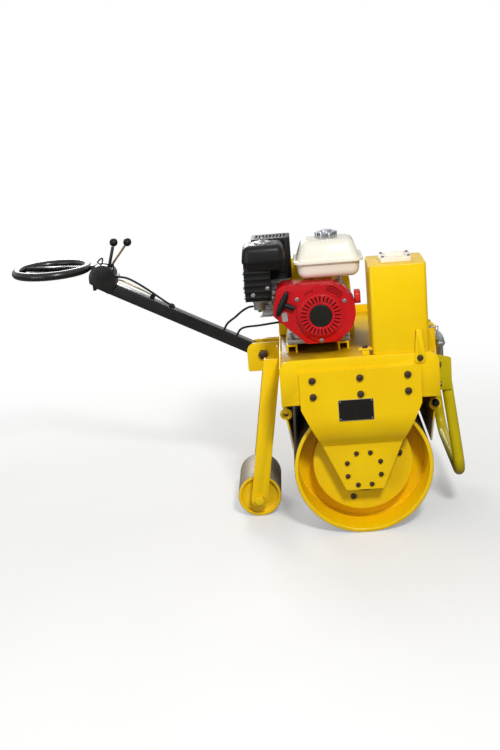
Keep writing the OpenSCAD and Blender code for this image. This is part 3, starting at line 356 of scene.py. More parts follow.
def starter_enamel():
    """The same red enamel, with the faces sunk deep in the starter's slots painted near black: partly the
    dark fan housing behind, partly painted shade down in the slots.
    """
    mat, tree, shader, place = surface("starter_enamel", **STOVED)
    tone = wet_look(tree, shader, place, colours().red, "AE0913", 0.2, 0.05)[0]
    low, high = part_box("starter_cover")
    middle = (low + high) / 2
    local = add(tree, "VectorMath", {"operation": "SUBTRACT", 1: (middle.x, low.y, middle.z)}, {0: place})
    part = add(tree, "SeparateXYZ", links={0: local})
    flat = add(tree, "CombineXYZ", links={0: part.outputs["X"], 1: part.outputs["Z"]})
    reach = add(tree, "VectorMath", {"operation": "LENGTH"}, {0: flat})
    slot_reach = (high.x - low.x) / 2 * SLOT_SHARE
    inside = add(tree, "Math", {"operation": "LESS_THAN", 1: slot_reach}, {0: reach.outputs[1]})
    # Faces more than 1.5 mm deep inside the slots' reach are painted near black: partly the fan housing's own
    # dark, partly painted shade
    deep = add(tree, "MapRange", {"From Min": mm(1.5), "From Max": mm(4)}, {"Value": part.outputs["Y"]})
    dark = add(tree, "Math", {"operation": "MULTIPLY"}, {0: inside, 1: deep})
    shade = add(tree, "Mix", {"data_type": "RGBA", 7: rgba("120506")}, {0: dark, 6: tone})
    tree.links.new(shade.outputs[2], shader.inputs["Base Color"])
    return mat


def cream_enamel():
    """Stoved cream enamel on the fuel tank: bright gloss, a little yellowed."""
    return coat("cream_enamel", colours().cream, "E6E0CE", 0.18, 0.04,
                {"Coat Weight": 0.1, "Coat Roughness": 0.07, "IOR": 1.5, "Specular IOR Level": 0.28})


def cream_moulding():
    """Moulded polyethylene: waxy cream with a satin face."""
    return coat("cream_moulding", "F0E8DB", "E2D6C2", 0.3, 0.04,
                {"IOR": 1.51, "Specular IOR Level": 0.28, "Subsurface Weight": 0.1,
                 "Subsurface Radius": (mm(3), mm(2), mm(1))})


def black_moulding():
    """Glass-filled nylon, spark-textured in the mould: near black, with a fine matt grain."""
    return coat("black_moulding", "0C0B0B", "131111", 0.34, 0.2, {"IOR": 1.53, "Specular IOR Level": 0.22})


def heat_paint():
    """Matt silicone heat paint on pressed sheet: grey-black, browned a little by heat."""
    return coat("heat_paint", "0E0D0C", "1A1512", 0.44, 0.12, {"IOR": 1.5, "Specular IOR Level": 0.22})


def black_enamel():
    """Black gloss enamel on drawn steel tube, dulled by hands."""
    return coat("black_enamel", colours().black, "131214", 0.22, 0.008,
                {"IOR": 1.5, "Specular IOR Level": 0.45, "Coat Weight": 0.2, "Coat Roughness": 0.1})


def black_rubber():
    """Extruded black rubber: soft, with a faint grey bloom."""
    return coat("black_rubber", "0D0C0C", "191817", 0.46, 0.1, {"IOR": 1.52, "Specular IOR Level": 0.24})


def red_moulding():
    """Moulded red ABS: even colour with a satin gloss."""
    return coat("red_moulding", "D8221C", "C81B17", 0.3, 0.05, {"IOR": 1.53})


def green_moulding():
    """Moulded green nylon: even colour with a satin face."""
    return coat("green_moulding", "3C8C46", "2F7A3A", 0.34, 0.04, {"IOR": 1.53})


def grey_card():
    """Coated card: plain grey, softly uneven."""
    return coat("grey_card", "9B9C9A", "8B8C8B", 0.5, 0.05, {"IOR": 1.48})


def metal(name, bright, dull, rough, grain, stain=0.0, stain_colour="5A4632"):
    """A bare metal with a grain of that many millimetres and some stain."""
    mat, tree, shader, place = surface(name, **{"Metallic": 1.0})
    fine = add(tree, "TexNoise", {"Scale": per(grain), "Detail": 5.0, "Roughness": 0.6}, {"Vector": place})
    broad = add(tree, "TexNoise", {"Scale": per(grain * 9), "Detail": 4.0}, {"Vector": place})
    tone = add(tree, "Mix", {"data_type": "RGBA", 6: rgba(bright), 7: rgba(dull)}, {0: broad}).outputs[2]
    if stain:
        mark = add(tree, "MapRange", {"From Min": 0.5, "From Max": 0.75, "To Max": stain}, {"Value": fine})
        tone = add(tree, "Mix", {"data_type": "RGBA", 7: rgba(stain_colour)}, {0: mark, 6: tone}).outputs[2]
    gloss = add(tree, "MapRange", {"To Min": rough, "To Max": rough + 0.22}, {"Value": fine})
    bump = add(tree, "Bump", {"Strength": 0.12, "Distance": mm(0.3)}, {"Height": fine})
    tree.links.new(tone, shader.inputs["Base Color"])
    tree.links.new(gloss.outputs[0], shader.inputs["Roughness"])
    tree.links.new(bump.outputs[0], shader.inputs["Normal"])
    return mat


def cast_aluminium():
    """Sand-cast aluminium: grey, matt and grainy, with oily dust."""
    return metal("cast_aluminium", "B9BAB8", "8E8F8E", 0.42, 2.5, 0.5, "5B564E")


def zinc_plate():
    """Hot-dip zinc on steel: cool grey spangle, half matt."""
    return metal("zinc_plate", "C9CCCD", "9CA1A3", 0.3, 6, 0.25, "7E807C")


def chrome_plate():
    """Bright chrome plate on pressed steel."""
    return metal("chrome_plate", "C9CCD0", "A9ADB3", 0.2, 8)


def oiled_steel():
    """Oil-blackened steel bolts: dark brown, with a dull gleam."""
    return metal("oiled_steel", "6B5A4C", "43372E", 0.34, 3, 0.4, "33271D")


def bright_steel():
    """Zinc-plated steel screws: clean and silvery."""
    return metal("bright_steel", "B4B6B7", "8A8D8F", 0.26, 3)


def dark_plate():
    """Black anodised aluminium sheet, brushed and bare."""
    return metal("dark_plate", "3B3936", "2B2A28", 0.36, 2)


def lever_paint():
    """Black paint on the near lever, and yellow-passivated bare steel on the far one."""
    mat, tree, shader, place = surface("lever_paint", **{"IOR": 1.5})
    tone = wet_look(tree, shader, place, colours().black, "1C1B1A", 0.3, 0.05)[0]
    side = add(tree, "SeparateXYZ", links={0: place}).outputs["Y"]
    bare = add(tree, "Math", {"operation": "GREATER_THAN", 1: 0.0}, {0: side}).outputs[0]
    both = add(tree, "Mix", {"data_type": "RGBA", 7: rgba("8F7E5C")}, {0: bare, 6: tone})
    tree.links.new(both.outputs[2], shader.inputs["Base Color"])
    tree.links.new(bare, shader.inputs["Metallic"])
    return mat


def brass_rod():
    """Yellow-passivated steel rod: brassy, a little dull."""
    return metal("brass_rod", "C7B382", "9C8657", 0.28, 3)


# Finishes made so far
FINISHES = {}


def finish(make):
    """The material of a finish, made once."""
    if make not in FINISHES:
        FINISHES[make] = make()
    return FINISHES[make]


# Modelling

def clear():
    """Object mode with nothing selected."""
    if bpy.context.object and bpy.context.object.mode != "OBJECT":
        bpy.ops.object.mode_set(mode="OBJECT")
    bpy.ops.object.select_all(action="DESELECT")


def only(*pieces):
    """Selects just these pieces, the first of them active."""
    clear()
    for piece in pieces:
        piece.select_set(True)
    bpy.context.view_layer.objects.active = pieces[0]
    return pieces[0]


def pick(piece, kind, test):
    """Edit mode with the vertices, edges or faces that pass the test."""
    only(piece)
    bpy.ops.object.mode_set(mode="EDIT")
    bpy.ops.mesh.select_mode(type=kind)
    bpy.ops.mesh.select_all(action="DESELECT")
    mesh = bmesh.from_edit_mesh(piece.data)
    for item in {"VERT": mesh.verts, "EDGE": mesh.edges, "FACE": mesh.faces}[kind]:
        item.select_set(bool(test(item)))
    bmesh.update_edit_mesh(piece.data)


def pick_faces(piece, test):
    """Picks the faces whose middle and normal pass the test."""
    pick(piece, "FACE", lambda face: test(face.calc_center_median(), face.normal))


def pick_edges(piece, test):
    """Picks the edges whose two ends pass the test."""
    pick(piece, "EDGE", lambda edge: test(edge.verts[0].co, edge.verts[1].co))


def pick_verts(piece, test):
    """Picks the vertices whose place passes the test."""
    pick(piece, "VERT", lambda vert: test(vert.co))


def object_mode():
    """Back from edit mode."""
    bpy.ops.object.mode_set(mode="OBJECT")


def aim(point, way, spin=0.0):
    """Matrix that stands a piece, modelled upright on the ground plane, on a point along a direction."""
    turn = Vector(way).to_track_quat("Z", "Y").to_matrix().to_4x4()
    return Matrix.Translation(point) @ turn @ Matrix.Rotation(spin, 4, "Z")


def settle(piece):
    """Puts a piece's place into its mesh."""
    only(piece)
    bpy.ops.object.transform_apply(location=True, rotation=True, scale=True)
    return piece


def copies(model, places):
    """One piece of copies of a model, each at its own matrix. The model itself is removed."""
    twins = []
    for place in places:
        only(model)
        bpy.ops.object.duplicate()
        twin = bpy.context.object
        twin.matrix_world = place
        twins.append(settle(twin))
    only(*twins)
    bpy.ops.object.join()
    joined = bpy.context.object
    only(model)
    bpy.ops.object.delete()
    return only(joined)


def join(*pieces):
    """One piece of several, each at its own place."""
    for piece in pieces:
        settle(piece)
    only(*pieces)
    bpy.ops.object.join()
    return bpy.context.object


def harden(piece, name, kind, **values):
    """Adds a modifier and applies it."""
    modifier = piece.modifiers.new(name, kind)
    for key, value in values.items():
        setattr(modifier, key, value)
    only(piece)
    bpy.ops.object.modifier_apply(modifier=name)
    return piece


def round_edges(piece, edge, steps=2):
    """Rounds a piece's sharp edges by that many millimetres."""
    harden(piece, "round", "BEVEL", width=mm(edge), segments=steps, limit_method="ANGLE",
           angle_limit=math.radians(32), use_clamp_overlap=True, harden_normals=False)


def cut(piece, cutter):
    """Cuts one piece out of another, and removes the cutter."""
    harden(piece, "cut", "BOOLEAN", object=cutter, operation="DIFFERENCE", solver="EXACT")
    only(cutter)
    bpy.ops.object.delete()


def hang(piece, name, body, make, smooth=35):
    """Names, smooths and paints a finished piece, and hangs it on its body."""
    settle(piece)
    bpy.ops.object.shade_smooth_by_angle(angle=math.radians(smooth))
    piece.name = piece.data.name = name
    piece.data.materials.clear()
    piece.data.materials.append(finish(make))
    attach(piece, body)
    return piece


def merge_points():
    """Edit mode with all of the active piece picked and its double points merged."""
    bpy.ops.object.mode_set(mode="EDIT")
    bpy.ops.mesh.select_all(action="SELECT")
    bpy.ops.mesh.remove_doubles(threshold=mm(0.01))


def soften(node, make, edge, smooth=35, steps=2):
    """A copy of a CAD node with its edges rounded, which stands for the node."""
    only(frame["nodes"][node])
    bpy.ops.object.duplicate()
    piece = bpy.context.object
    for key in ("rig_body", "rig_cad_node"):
        del piece[key]
    piece.parent = None
    merge_points()
    bpy.ops.mesh.dissolve_limited(angle_limit=math.radians(0.6))
    object_mode()
    if edge:
        round_edges(piece, edge, steps)
    hang(piece, node + "_skin", BODY_OF[node], make, smooth)
    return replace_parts(piece, node)


def disc(radius, height, sides=32, low=0.0):
    """A short cylinder that stands at a height over the ground plane."""
    clear()
    bpy.ops.mesh.primitive_cylinder_add(vertices=sides, radius=radius, depth=height,
                                        location=(0, 0, low + height / 2))
    return settle(bpy.context.object)


def block(size, place=(0, 0, 0), turn=0.0):
    """A block with its middle at a place, turned about the vertical."""
    clear()
    bpy.ops.mesh.primitive_cube_add(size=1, location=place, rotation=(0, 0, turn), scale=size)
    return settle(bpy.context.object)


def hoop(radius, wire, steps, sides):
    """A ring of round wire that lies on the ground plane."""
    clear()
    bpy.ops.mesh.primitive_torus_add(location=(0, 0, 0), major_radius=radius, minor_radius=wire,
                                     major_segments=steps, minor_segments=sides)
    return bpy.context.object


def bevel(piece, test, width, steps):
    """Bevels the edges whose two ends pass the test."""
    pick_edges(piece, test)
    bpy.ops.mesh.bevel(offset=width, segments=steps, affect="EDGES")
    object_mode()
    return piece


def chamfer(piece, z, width, steps=2):
    """Bevels the edges of a piece that lie at a height."""
    return bevel(piece, lambda a, b: abs(a.z - z) < mm(0.02) and abs(b.z - z) < mm(0.02), width, steps)


def sink(piece, test, rim, wall, depth):
    """Sinks the faces whose middle and normal pass the test, inside a rim."""
    pick_faces(piece, test)
    bpy.ops.mesh.inset(thickness=rim)
    bpy.ops.mesh.inset(thickness=wall, depth=-depth)
    object_mode()


def hex_bolt(flats):
    """A chamfered hex head on its washer, with a turned ring on top."""
    washer = chamfer(disc(flats * 0.64, flats * 0.11), flats * 0.11, flats * 0.03)
    low = flats * 0.11 - mm(0.05)
    head = chamfer(disc(flats / math.sqrt(3), flats * 0.4, 6, low), low + flats * 0.4, flats * 0.07)
    pad = disc(flats * 0.36, flats * 0.03, 24, low + flats * 0.4 - mm(0.05))
    chamfer(pad, low + flats * 0.43 - mm(0.05), flats * 0.015, 1)
    return join(washer, head, pad)


def bolt_set(name, flats, rows, body="chassis", make=oiled_steel):
    """Hangs a hex bolt on a body at each matrix."""
    hang(copies(hex_bolt(flats), rows), name, body, make)


def pan_screw(radius):
    """A domed screw head with a cross recess."""
    head = disc(radius, radius * 0.7, 24)
    chamfer(head, radius * 0.7, radius * 0.4, 3)
    for turn in (0, 90):
        size = (radius * 1.1, radius * 0.24, radius * 0.5)
        cut(head, block(size, (0, 0, radius * 0.75), math.radians(turn)))
    return head


def smooth_route(points, steps=3):
    """Points of one smooth curve through a cable's points."""
    ends = [points[0] * 2 - points[1], *points, points[-1] * 2 - points[-2]]
    route = []
    for a, b, c, d in zip(ends, ends[1:], ends[2:], ends[3:]):
        for i in range(steps):
            t = i / steps
            route.append(0.5 * (2 * b + (c - a) * t + (2 * a - 5 * b + 4 * c - d) * t ** 2
                                + (3 * b - a - 3 * c + d) * t ** 3))
    return [*route, points[-1]]


def tube(name, route, diameter):
    """A mesh tube along a route."""
    clear()
    bpy.ops.curve.primitive_nurbs_path_add(location=(0, 0, 0))
    line = bpy.context.object
    line.data.splines.clear()
    spline = line.data.splines.new("POLY")
    spline.points.add(len(route) - 1)
    for point, place in zip(spline.points, route):
        point.co = (*place, 1)
    line.data.dimensions = "3D"
    line.data.bevel_depth = diameter / 2
    line.data.bevel_resolution = 3
    line.data.use_fill_caps = True
    only(line)
    bpy.ops.object.convert(target="MESH")
    piece = bpy.context.object
    merge_points()
    bpy.ops.mesh.normals_make_consistent(inside=False)
    object_mode()
    bpy.ops.object.shade_smooth_by_angle(angle=math.radians(50))
    piece.name = piece.data.name = name
    return piece


# Cable routes in millimetres, the same as the source's

HEAD_ROUTE = [(-737.6, -8, 806), (-724, -8, 806), (-702, -8, 800), (-674, -8, 783), (-647, -8, 763),
              (-622, -8, 743), (-600, -8, 724.5), (-580, -8, 708.5), (-560, -8, 695)]
THROTTLE_ROUTE = [(-407.8, 0, 609.3), (-402.2, 0, 619.9), (-394, -6, 631), (-381, -20, 643),
                  (-369, -38, 654), (-357, -56, 667), (-345, -72, 679), (-330, -86, 690.5),
                  (-317, -94, 696.8), (-305.2, -96.3, 698)]
DRIVE_ROUTE = [(-367.8, 0, 588), (-362.6, 0, 597.9), (-354.5, -2.5, 606.3), (-343, -7.5, 611.8),
               (-326, -17, 616), (-305, -32, 620), (-280, -50, 626), (-255, -66, 632), (-230, -78, 637),
               (-210, -86, 641), (-198, -88, 642), (-188.4, -88, 642)]


class RollerCables(Operator):
    """Control cables along the handle and across its hinge"""

    bl_idname = "roller.cables"
    bl_label = "Cables"

    def execute(self, context):
        size = sizes().cable
        for node, points in (("head_cable", HEAD_ROUTE), ("throttle_cable", THROTTLE_ROUTE),
                             ("drive_cable", DRIVE_ROUTE)):
            route = smooth_route([at(*p) for p in points])
            piece = tube(node + "_hose", route, size)
            piece.data.materials.append(finish(black_rubber))
            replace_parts(piece, node)
            if node == "head_cable":
                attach(piece, "handle")
            else:
                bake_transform(piece)
        return {"FINISHED"}


# Edge rounding of the sheet metal in millimetres, then in metres the side arms' sheet and the height and the
# outer and inner rolls of their upper fold
SHEET_EDGE = 1.3
ARM_SHEET, FOLD_Z, ROLL_OUT, ROLL_IN = mm(8), mm(352), mm(44), mm(41)
# Scraper shafts: distance from the axle, depth under the plate's top and inset of the eyes
SCRAPER_X, EYE_DROP, EYE_IN = mm(226), mm(45), mm(9)


class RollerFrame(Operator):
    """Frame, side arms and deck with rounded edges"""

    bl_idname = "roller.frame_sheets"
    bl_label = "Frame sheets"

    def execute(self, context):
        for node in ("frame_side_near", "frame_side_far", "frame_rear_plate", "frame_front_plate",
                     "engine_rails", "roller_leg_near", "roller_leg_far", "handle_bracket", "tie_lug",
                     "tank_strap"):
            soften(node, yellow_enamel, SHEET_EDGE)
        soften("frame_deck", deck_enamel, SHEET_EDGE)
        for node in ("side_arm_near", "side_arm_far"):
            self.rolled_arm(node)
        soften("roller_axle", yellow_enamel, 0.8)
        soften("guard_brackets", guard_enamel_painted_shade, SHEET_EDGE)
        soften("front_guard", guard_enamel_painted_shade, 0.8)
        soften("scraper_rear", scraper_enamel, 0.8)
        soften("scraper_front", scraper_enamel, 0.8)
        self.eyes()
        for node in ("hub_near", "hub_far", "handle_pivot"):
            soften(node, oiled_steel, 1)
        soften("handle_stop", black_rubber, 2)
        soften("scraper_knob", black_moulding, 0, 60)
        return {"FINISHED"}

    def rolled_arm(self, node):
        """Side arm, with its upper fold rolled over a wide radius"""
        piece = soften(node, yellow_enamel, 0)
        low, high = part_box(node)
        outer = max(abs(low.y), abs(high.y))
        for face, roll in ((outer, ROLL_OUT), (outer - ARM_SHEET, ROLL_IN)):
            bevel(piece, lambda a, b: all(abs(v.z - FOLD_Z) < mm(1) and abs(abs(v.y) - face) < mm(0.5)
                                          for v in (a, b)), roll, 8)
        round_edges(piece, SHEET_EDGE)
        only(piece)
        bpy.ops.object.shade_smooth_by_angle(angle=math.radians(35))

    def eyes(self):
        """Turned collars on the ends of the scraper shafts"""
        rows = []
        for node in ("scraper_rear", "scraper_front"):
            low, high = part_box(node)
            x = AXLE.x + math.copysign(SCRAPER_X, (low.x + high.x) / 2 - AXLE.x)
            z = high.z - EYE_DROP
            rows += [aim((x, low.y + EYE_IN, z), NEAR), aim((x, high.y - EYE_IN, z), FAR)]
        collar = chamfer(disc(mm(14), mm(8), 40), mm(8), mm(1.5))
        sink(collar, lambda c, n: n.z > 0.9, mm(3), mm(0.8), mm(1.2))
        hang(copies(collar, rows), "scraper_collars", "chassis", yellow_enamel, 30)
        stub = chamfer(disc(mm(7.5), mm(8.6), 28), mm(8.6), mm(1.5), 2)
        hang(copies(stub, rows[:2]), "scraper_shaft_ends", "chassis", oiled_steel, 40)


# Steps of the weld beads round the drum
WELD_STEPS = 240


class RollerDrum(Operator):
    """Drum, its hub discs with their bolts, and the support roller"""

    bl_idname = "roller.drum"
    bl_label = "Drum and roller"

    def execute(self, context):
        soften("drum_shell", drum_steel, 2)
        soften("drum_webs", yellow_enamel, 1)
        for node in ("drum_hub_near", "drum_hub_far"):
            soften(node, yellow_enamel, 3, steps=3)
        soften("support_roller", roller_steel, 2)
        ring = sizes().disc_bolt_ring
        places = []
        for side, node in ((NEAR, "drum_hub_near"), (FAR, "drum_hub_far")):
            low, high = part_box(node)
            face = low.y if side is NEAR else high.y
            for turn in (12, 132, 252):
                a = math.radians(turn)
                places.append(aim((AXLE.x + ring * math.cos(a), face, AXLE.z + ring * math.sin(a)), side, a))
        bolt_set("drum_disc_bolts", sizes().disc_bolt, places, "drum")
        self.welds()
        return {"FINISHED"}

    def welds(self):
        """Rippled bead between each web plate and the shell"""
        low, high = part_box("drum_webs")
        beads = []
        for side, y in ((NEAR, low.y), (FAR, high.y)):
            bead = hoop((high.z - low.z) / 2, mm(4), WELD_STEPS, 8)
            pick_verts(bead, lambda p: round(math.atan2(p.y, p.x) / math.tau * WELD_STEPS) % 3 == 0)
            bpy.ops.transform.shrink_fatten(value=mm(1.2))
            object_mode()
            bead.matrix_world = aim((AXLE.x, y, AXLE.z), side)
            beads.append(bead)
        hang(join(*beads), "web_welds", "drum", yellow_enamel, 70)


class RollerFasteners(Operator):
    """Bolts of the side arms, hubs, brackets and strap"""

    bl_idname = "roller.fasteners"
    bl_label = "Fasteners"

    def execute(self, context):
        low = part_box("side_arm_near")[0]
        faces = ((NEAR, low.y), (FAR, -low.y))
        rows = [aim((AXLE.x + mm(x), y, mm(z)), side, mm(x) * 9 + z)
                for side, y in faces for x in (-141, 0, 141) for z in (467, 517)]
        bolt_set("arm_bolts", sizes().arm_bolt, rows)
        count, ring, inset = sizes().hub_bolt_count, sizes().hub_bolt_ring, mm(50)
        turns = [math.radians((i + 0.5) * 360 / count) for i in range(count)]
        rows = []
        for side, y in faces:
            for a in turns:
                place = (AXLE.x + ring * math.cos(a), y - inset * side.y, AXLE.z + ring * math.sin(a))
                rows.append(aim(place, side, a * 1.7))
        bolt_set("hub_bolts", sizes().hub_bolt, rows)
        strap_low, strap_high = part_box("tank_strap")
        rows = [aim(((strap_low.x + strap_high.x) / 2, strap_low.y, strap_low.z + mm(16)), NEAR, 0.3)]
        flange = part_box("guard_brackets")[0]
        for side in (-1, 1):
            for z in (455, 515):
                rows.append(aim((flange.x + mm(6), side * mm(270), mm(z)), FRONT, z))
        bolt_set("bracket_bolts", mm(15), rows)
        return {"FINISHED"}


class RollerPlate(Operator):
    """Blank name plate with its thin border and rivets"""

    bl_idname = "roller.plate"
    bl_label = "Name plate"

    def execute(self, context):
        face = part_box("side_arm_near")[0].y
        length, height, thick = sizes().plate_length, sizes().plate_height, mm(1.2)
        middle = at(-16, 0, 419)
        plate = block((length, thick, height), (middle.x, face - thick / 2, middle.z))
        bevel(plate, lambda a, b: abs(a.y - b.y) > thick / 2, mm(5), 4)
        sink(plate, lambda c, n: n.y < -0.9, mm(1.3), mm(0.5), mm(0.35))
        hang(plate, "name_plate", "chassis", dark_plate, 20)
        plate.data.materials.append(finish(zinc_plate))
        for part in plate.data.polygons:
            away = part.center - middle
            past = max(abs(away.x) - length / 2, abs(away.z) - height / 2)
            part.material_index = 1 if past > -mm(1.4) else 0
        across, up = length / 2 - mm(6), height / 2 - mm(6)
        rows = [aim((middle.x + sx * across, face - thick + mm(0.3), middle.z + sz * up), NEAR)
                for sx in (-1, 1) for sz in (-1, 1)]
        rivet = chamfer(disc(mm(2.4), mm(1.2), 16), mm(1.2), mm(0.9), 3)
        hang(copies(rivet, rows), "plate_rivets", "chassis", bright_steel)
        return {"FINISHED"}


# Depth of the shroud's sheet behind its front face
SHROUD_DEPTH = mm(9)


class RollerEngine(Operator):
    """Engine: shroud, starter, tank, air cleaner, carburettor and exhaust"""

    bl_idname = "roller.engine"
    bl_label = "Engine"

    def execute(self, context):
        soften("engine_block", cast_aluminium, 1.2)
        soften("fan_shroud", red_enamel, 3.5, steps=3)
        soften("starter_cover", starter_enamel, 0.7)
        soften("fuel_tank", cream_enamel, 1.5, 50)
        soften("fuel_cap", chrome_plate, 2.5, 50, 3)
        soften("air_cleaner", black_moulding, 1.2, 50)
        soften("carburettor", cast_aluminium, 1.5)
        self.vents(soften("muffler", heat_paint, 1.5))
        soften("engine_switch", red_moulding, 2)
        soften("belt_guard", yellow_enamel, 4, steps=3)
        self.badge()
        self.bolts()
        self.grip()
        self.air_stud()
        self.studs()
        return {"FINISHED"}

    def vents(self, guard):
        """Row of slots cut in the muffler guard's top"""
        low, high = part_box("muffler")
        x, y, pitch = (low.x + high.x) / 2, (low.y + high.y) / 2, mm(11)
        slot = block((mm(5.5), (high.y - low.y) * 0.62, mm(9)))
        rows = [Matrix.Translation((x + pitch * i, y, high.z)) for i in range(-4, 5)]
        cut(guard, copies(slot, rows))

    def air_stud(self):
        """Plated washer, nut and threaded stud on top of the air cleaner"""
        low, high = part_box("air_cleaner")
        top = high.z - mm(12.4)
        parts = [chamfer(disc(mm(26), mm(5), 48), mm(5), mm(1.2)),
                 chamfer(disc(mm(10), mm(5), 6, mm(4.9)), mm(9.9), mm(1))]
        parts += [chamfer(disc(mm(5.8), mm(1.7), 20, mm(9.8 + 1.6 * i)), mm(11.5 + 1.6 * i), mm(0.5), 1)
                  for i in range(4)]
        piece = join(*parts)
        piece.matrix_world = Matrix.Translation(((low.x + high.x) / 2, (low.y + high.y) / 2, top))
        hang(piece, "air_stud", "chassis", bright_steel)

    def studs(self):
        """Studs at the engine's feet, under the fuel tank and on the air box, and the bowl's drain tip"""
        foot = join(hex_bolt(mm(13)), chamfer(disc(mm(4), mm(17), 16, mm(2)), mm(19), mm(0.8), 1))
        rows = [aim(at(x, y, 594), UP, x) for x in (-194, -34) for y in (-143, 41)]
        hang(copies(foot, rows), "engine_foot_studs", "chassis", bright_steel)
        stay = join(disc(mm(4), mm(24), 20), chamfer(disc(mm(7.5), mm(5), 6, mm(4)), mm(9), mm(0.8)),
                    chamfer(disc(mm(9), mm(2), 24, mm(2.2)), mm(4.2), mm(0.4), 1))
        stay.matrix_world = Matrix.Translation(at(-30, -170, 764.5))
        hang(stay, "tank_stay", "chassis", bright_steel)
        rows = [aim(at(-300, -180, 750), NEAR, 0.2), aim(at(-255, -180, 769), NEAR, 0.8),
                aim(at(-325, -150, 769), REAR, 0.4)]
        bolt_set("air_box_bolts", sizes().small_bolt, rows, make=bright_steel)
        tip = chamfer(disc(mm(5.8), mm(8), 24), mm(8), mm(2.5), 3)
        tip.matrix_world = aim(at(-286, -96.3, 686), -UP)
        hang(tip, "drain_tip", "chassis", green_moulding, 50)

    def badge(self):
        """Plain dark disc over the middle of the starter"""
        low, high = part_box("starter_cover")
        piece = disc((high.x - low.x) * 0.255, mm(2.6), 64)
        chamfer(piece, mm(2.6), mm(1.2), 2)
        sink(piece, lambda c, n: n.z > 0.9 and c.z > mm(2.5), mm(2), mm(0.6), mm(0.5))
        piece.matrix_world = aim(((low.x + high.x) / 2, low.y + mm(2), (low.z + high.z) / 2), NEAR)
        hang(piece, "starter_badge", "chassis", dark_plate, 30)

    def bolts(self):
        """Flange bolts of the shroud"""
        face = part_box("fan_shroud")[0].y
        sheet = face + SHROUD_DEPTH
        rows = [aim(at(-168, 0, 736) + Vector((0, sheet, 0)), NEAR, 0.2),
                aim(at(-26, 0, 724) + Vector((0, face, 0)), NEAR, 0.9),
                aim(at(-102, 0, 606) + Vector((0, face, 0)), NEAR, 0.5)]
        bolt_set("shroud_bolts", sizes().small_bolt, rows, make=bright_steel)

    def grip(self):
        """Moulded T grip on its cord, with a plain tag"""
        low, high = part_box("starter_grip")
        middle = at(-213, 0, 728)
        y = (low.y + high.y) / 2
        clear()
        bpy.ops.mesh.primitive_uv_sphere_add(segments=24, ring_count=16, radius=1, location=(0, 0, 0),
                                             scale=(mm(11), mm(9.5), mm(43)))
        bar = settle(bpy.context.object)
        stem = disc(mm(8), mm(36), 24, mm(4))
        chamfer(stem, mm(40), mm(2), 2)
        stem.matrix_world = aim((0, 0, 0), FRONT)
        piece = join(bar, stem)
        harden(piece, "blend", "REMESH", mode="VOXEL", voxel_size=mm(1.4))
        harden(piece, "relax", "SMOOTH", factor=0.5, iterations=8)
        lean = Matrix.Rotation(math.radians(26), 4, "Y")
        piece.matrix_world = Matrix.Translation((middle.x, y, middle.z)) @ lean
        hang(piece, "pull_grip", "chassis", black_moulding, 60)
        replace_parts(piece, "starter_grip")
        tag = block((mm(17), mm(1), mm(28)))
        bevel(tag, lambda a, b: abs(a.y - b.y) > mm(0.5), mm(2.5), 3)
        pick_faces(tag, lambda c, n: abs(n.y) > 0.9)
        bpy.ops.mesh.inset(thickness=mm(1.2), depth=-mm(0.15), use_individual=True)
        object_mode()
        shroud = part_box("fan_shroud")[0].y + SHROUD_DEPTH
        lean = Matrix.Rotation(math.radians(-5), 4, "Y")
        tag.matrix_world = Matrix.Translation((at(-209, 0, 0).x, shroud - mm(0.8), mm(685))) @ lean
        hang(tag, "grip_tag", "chassis", grey_card)


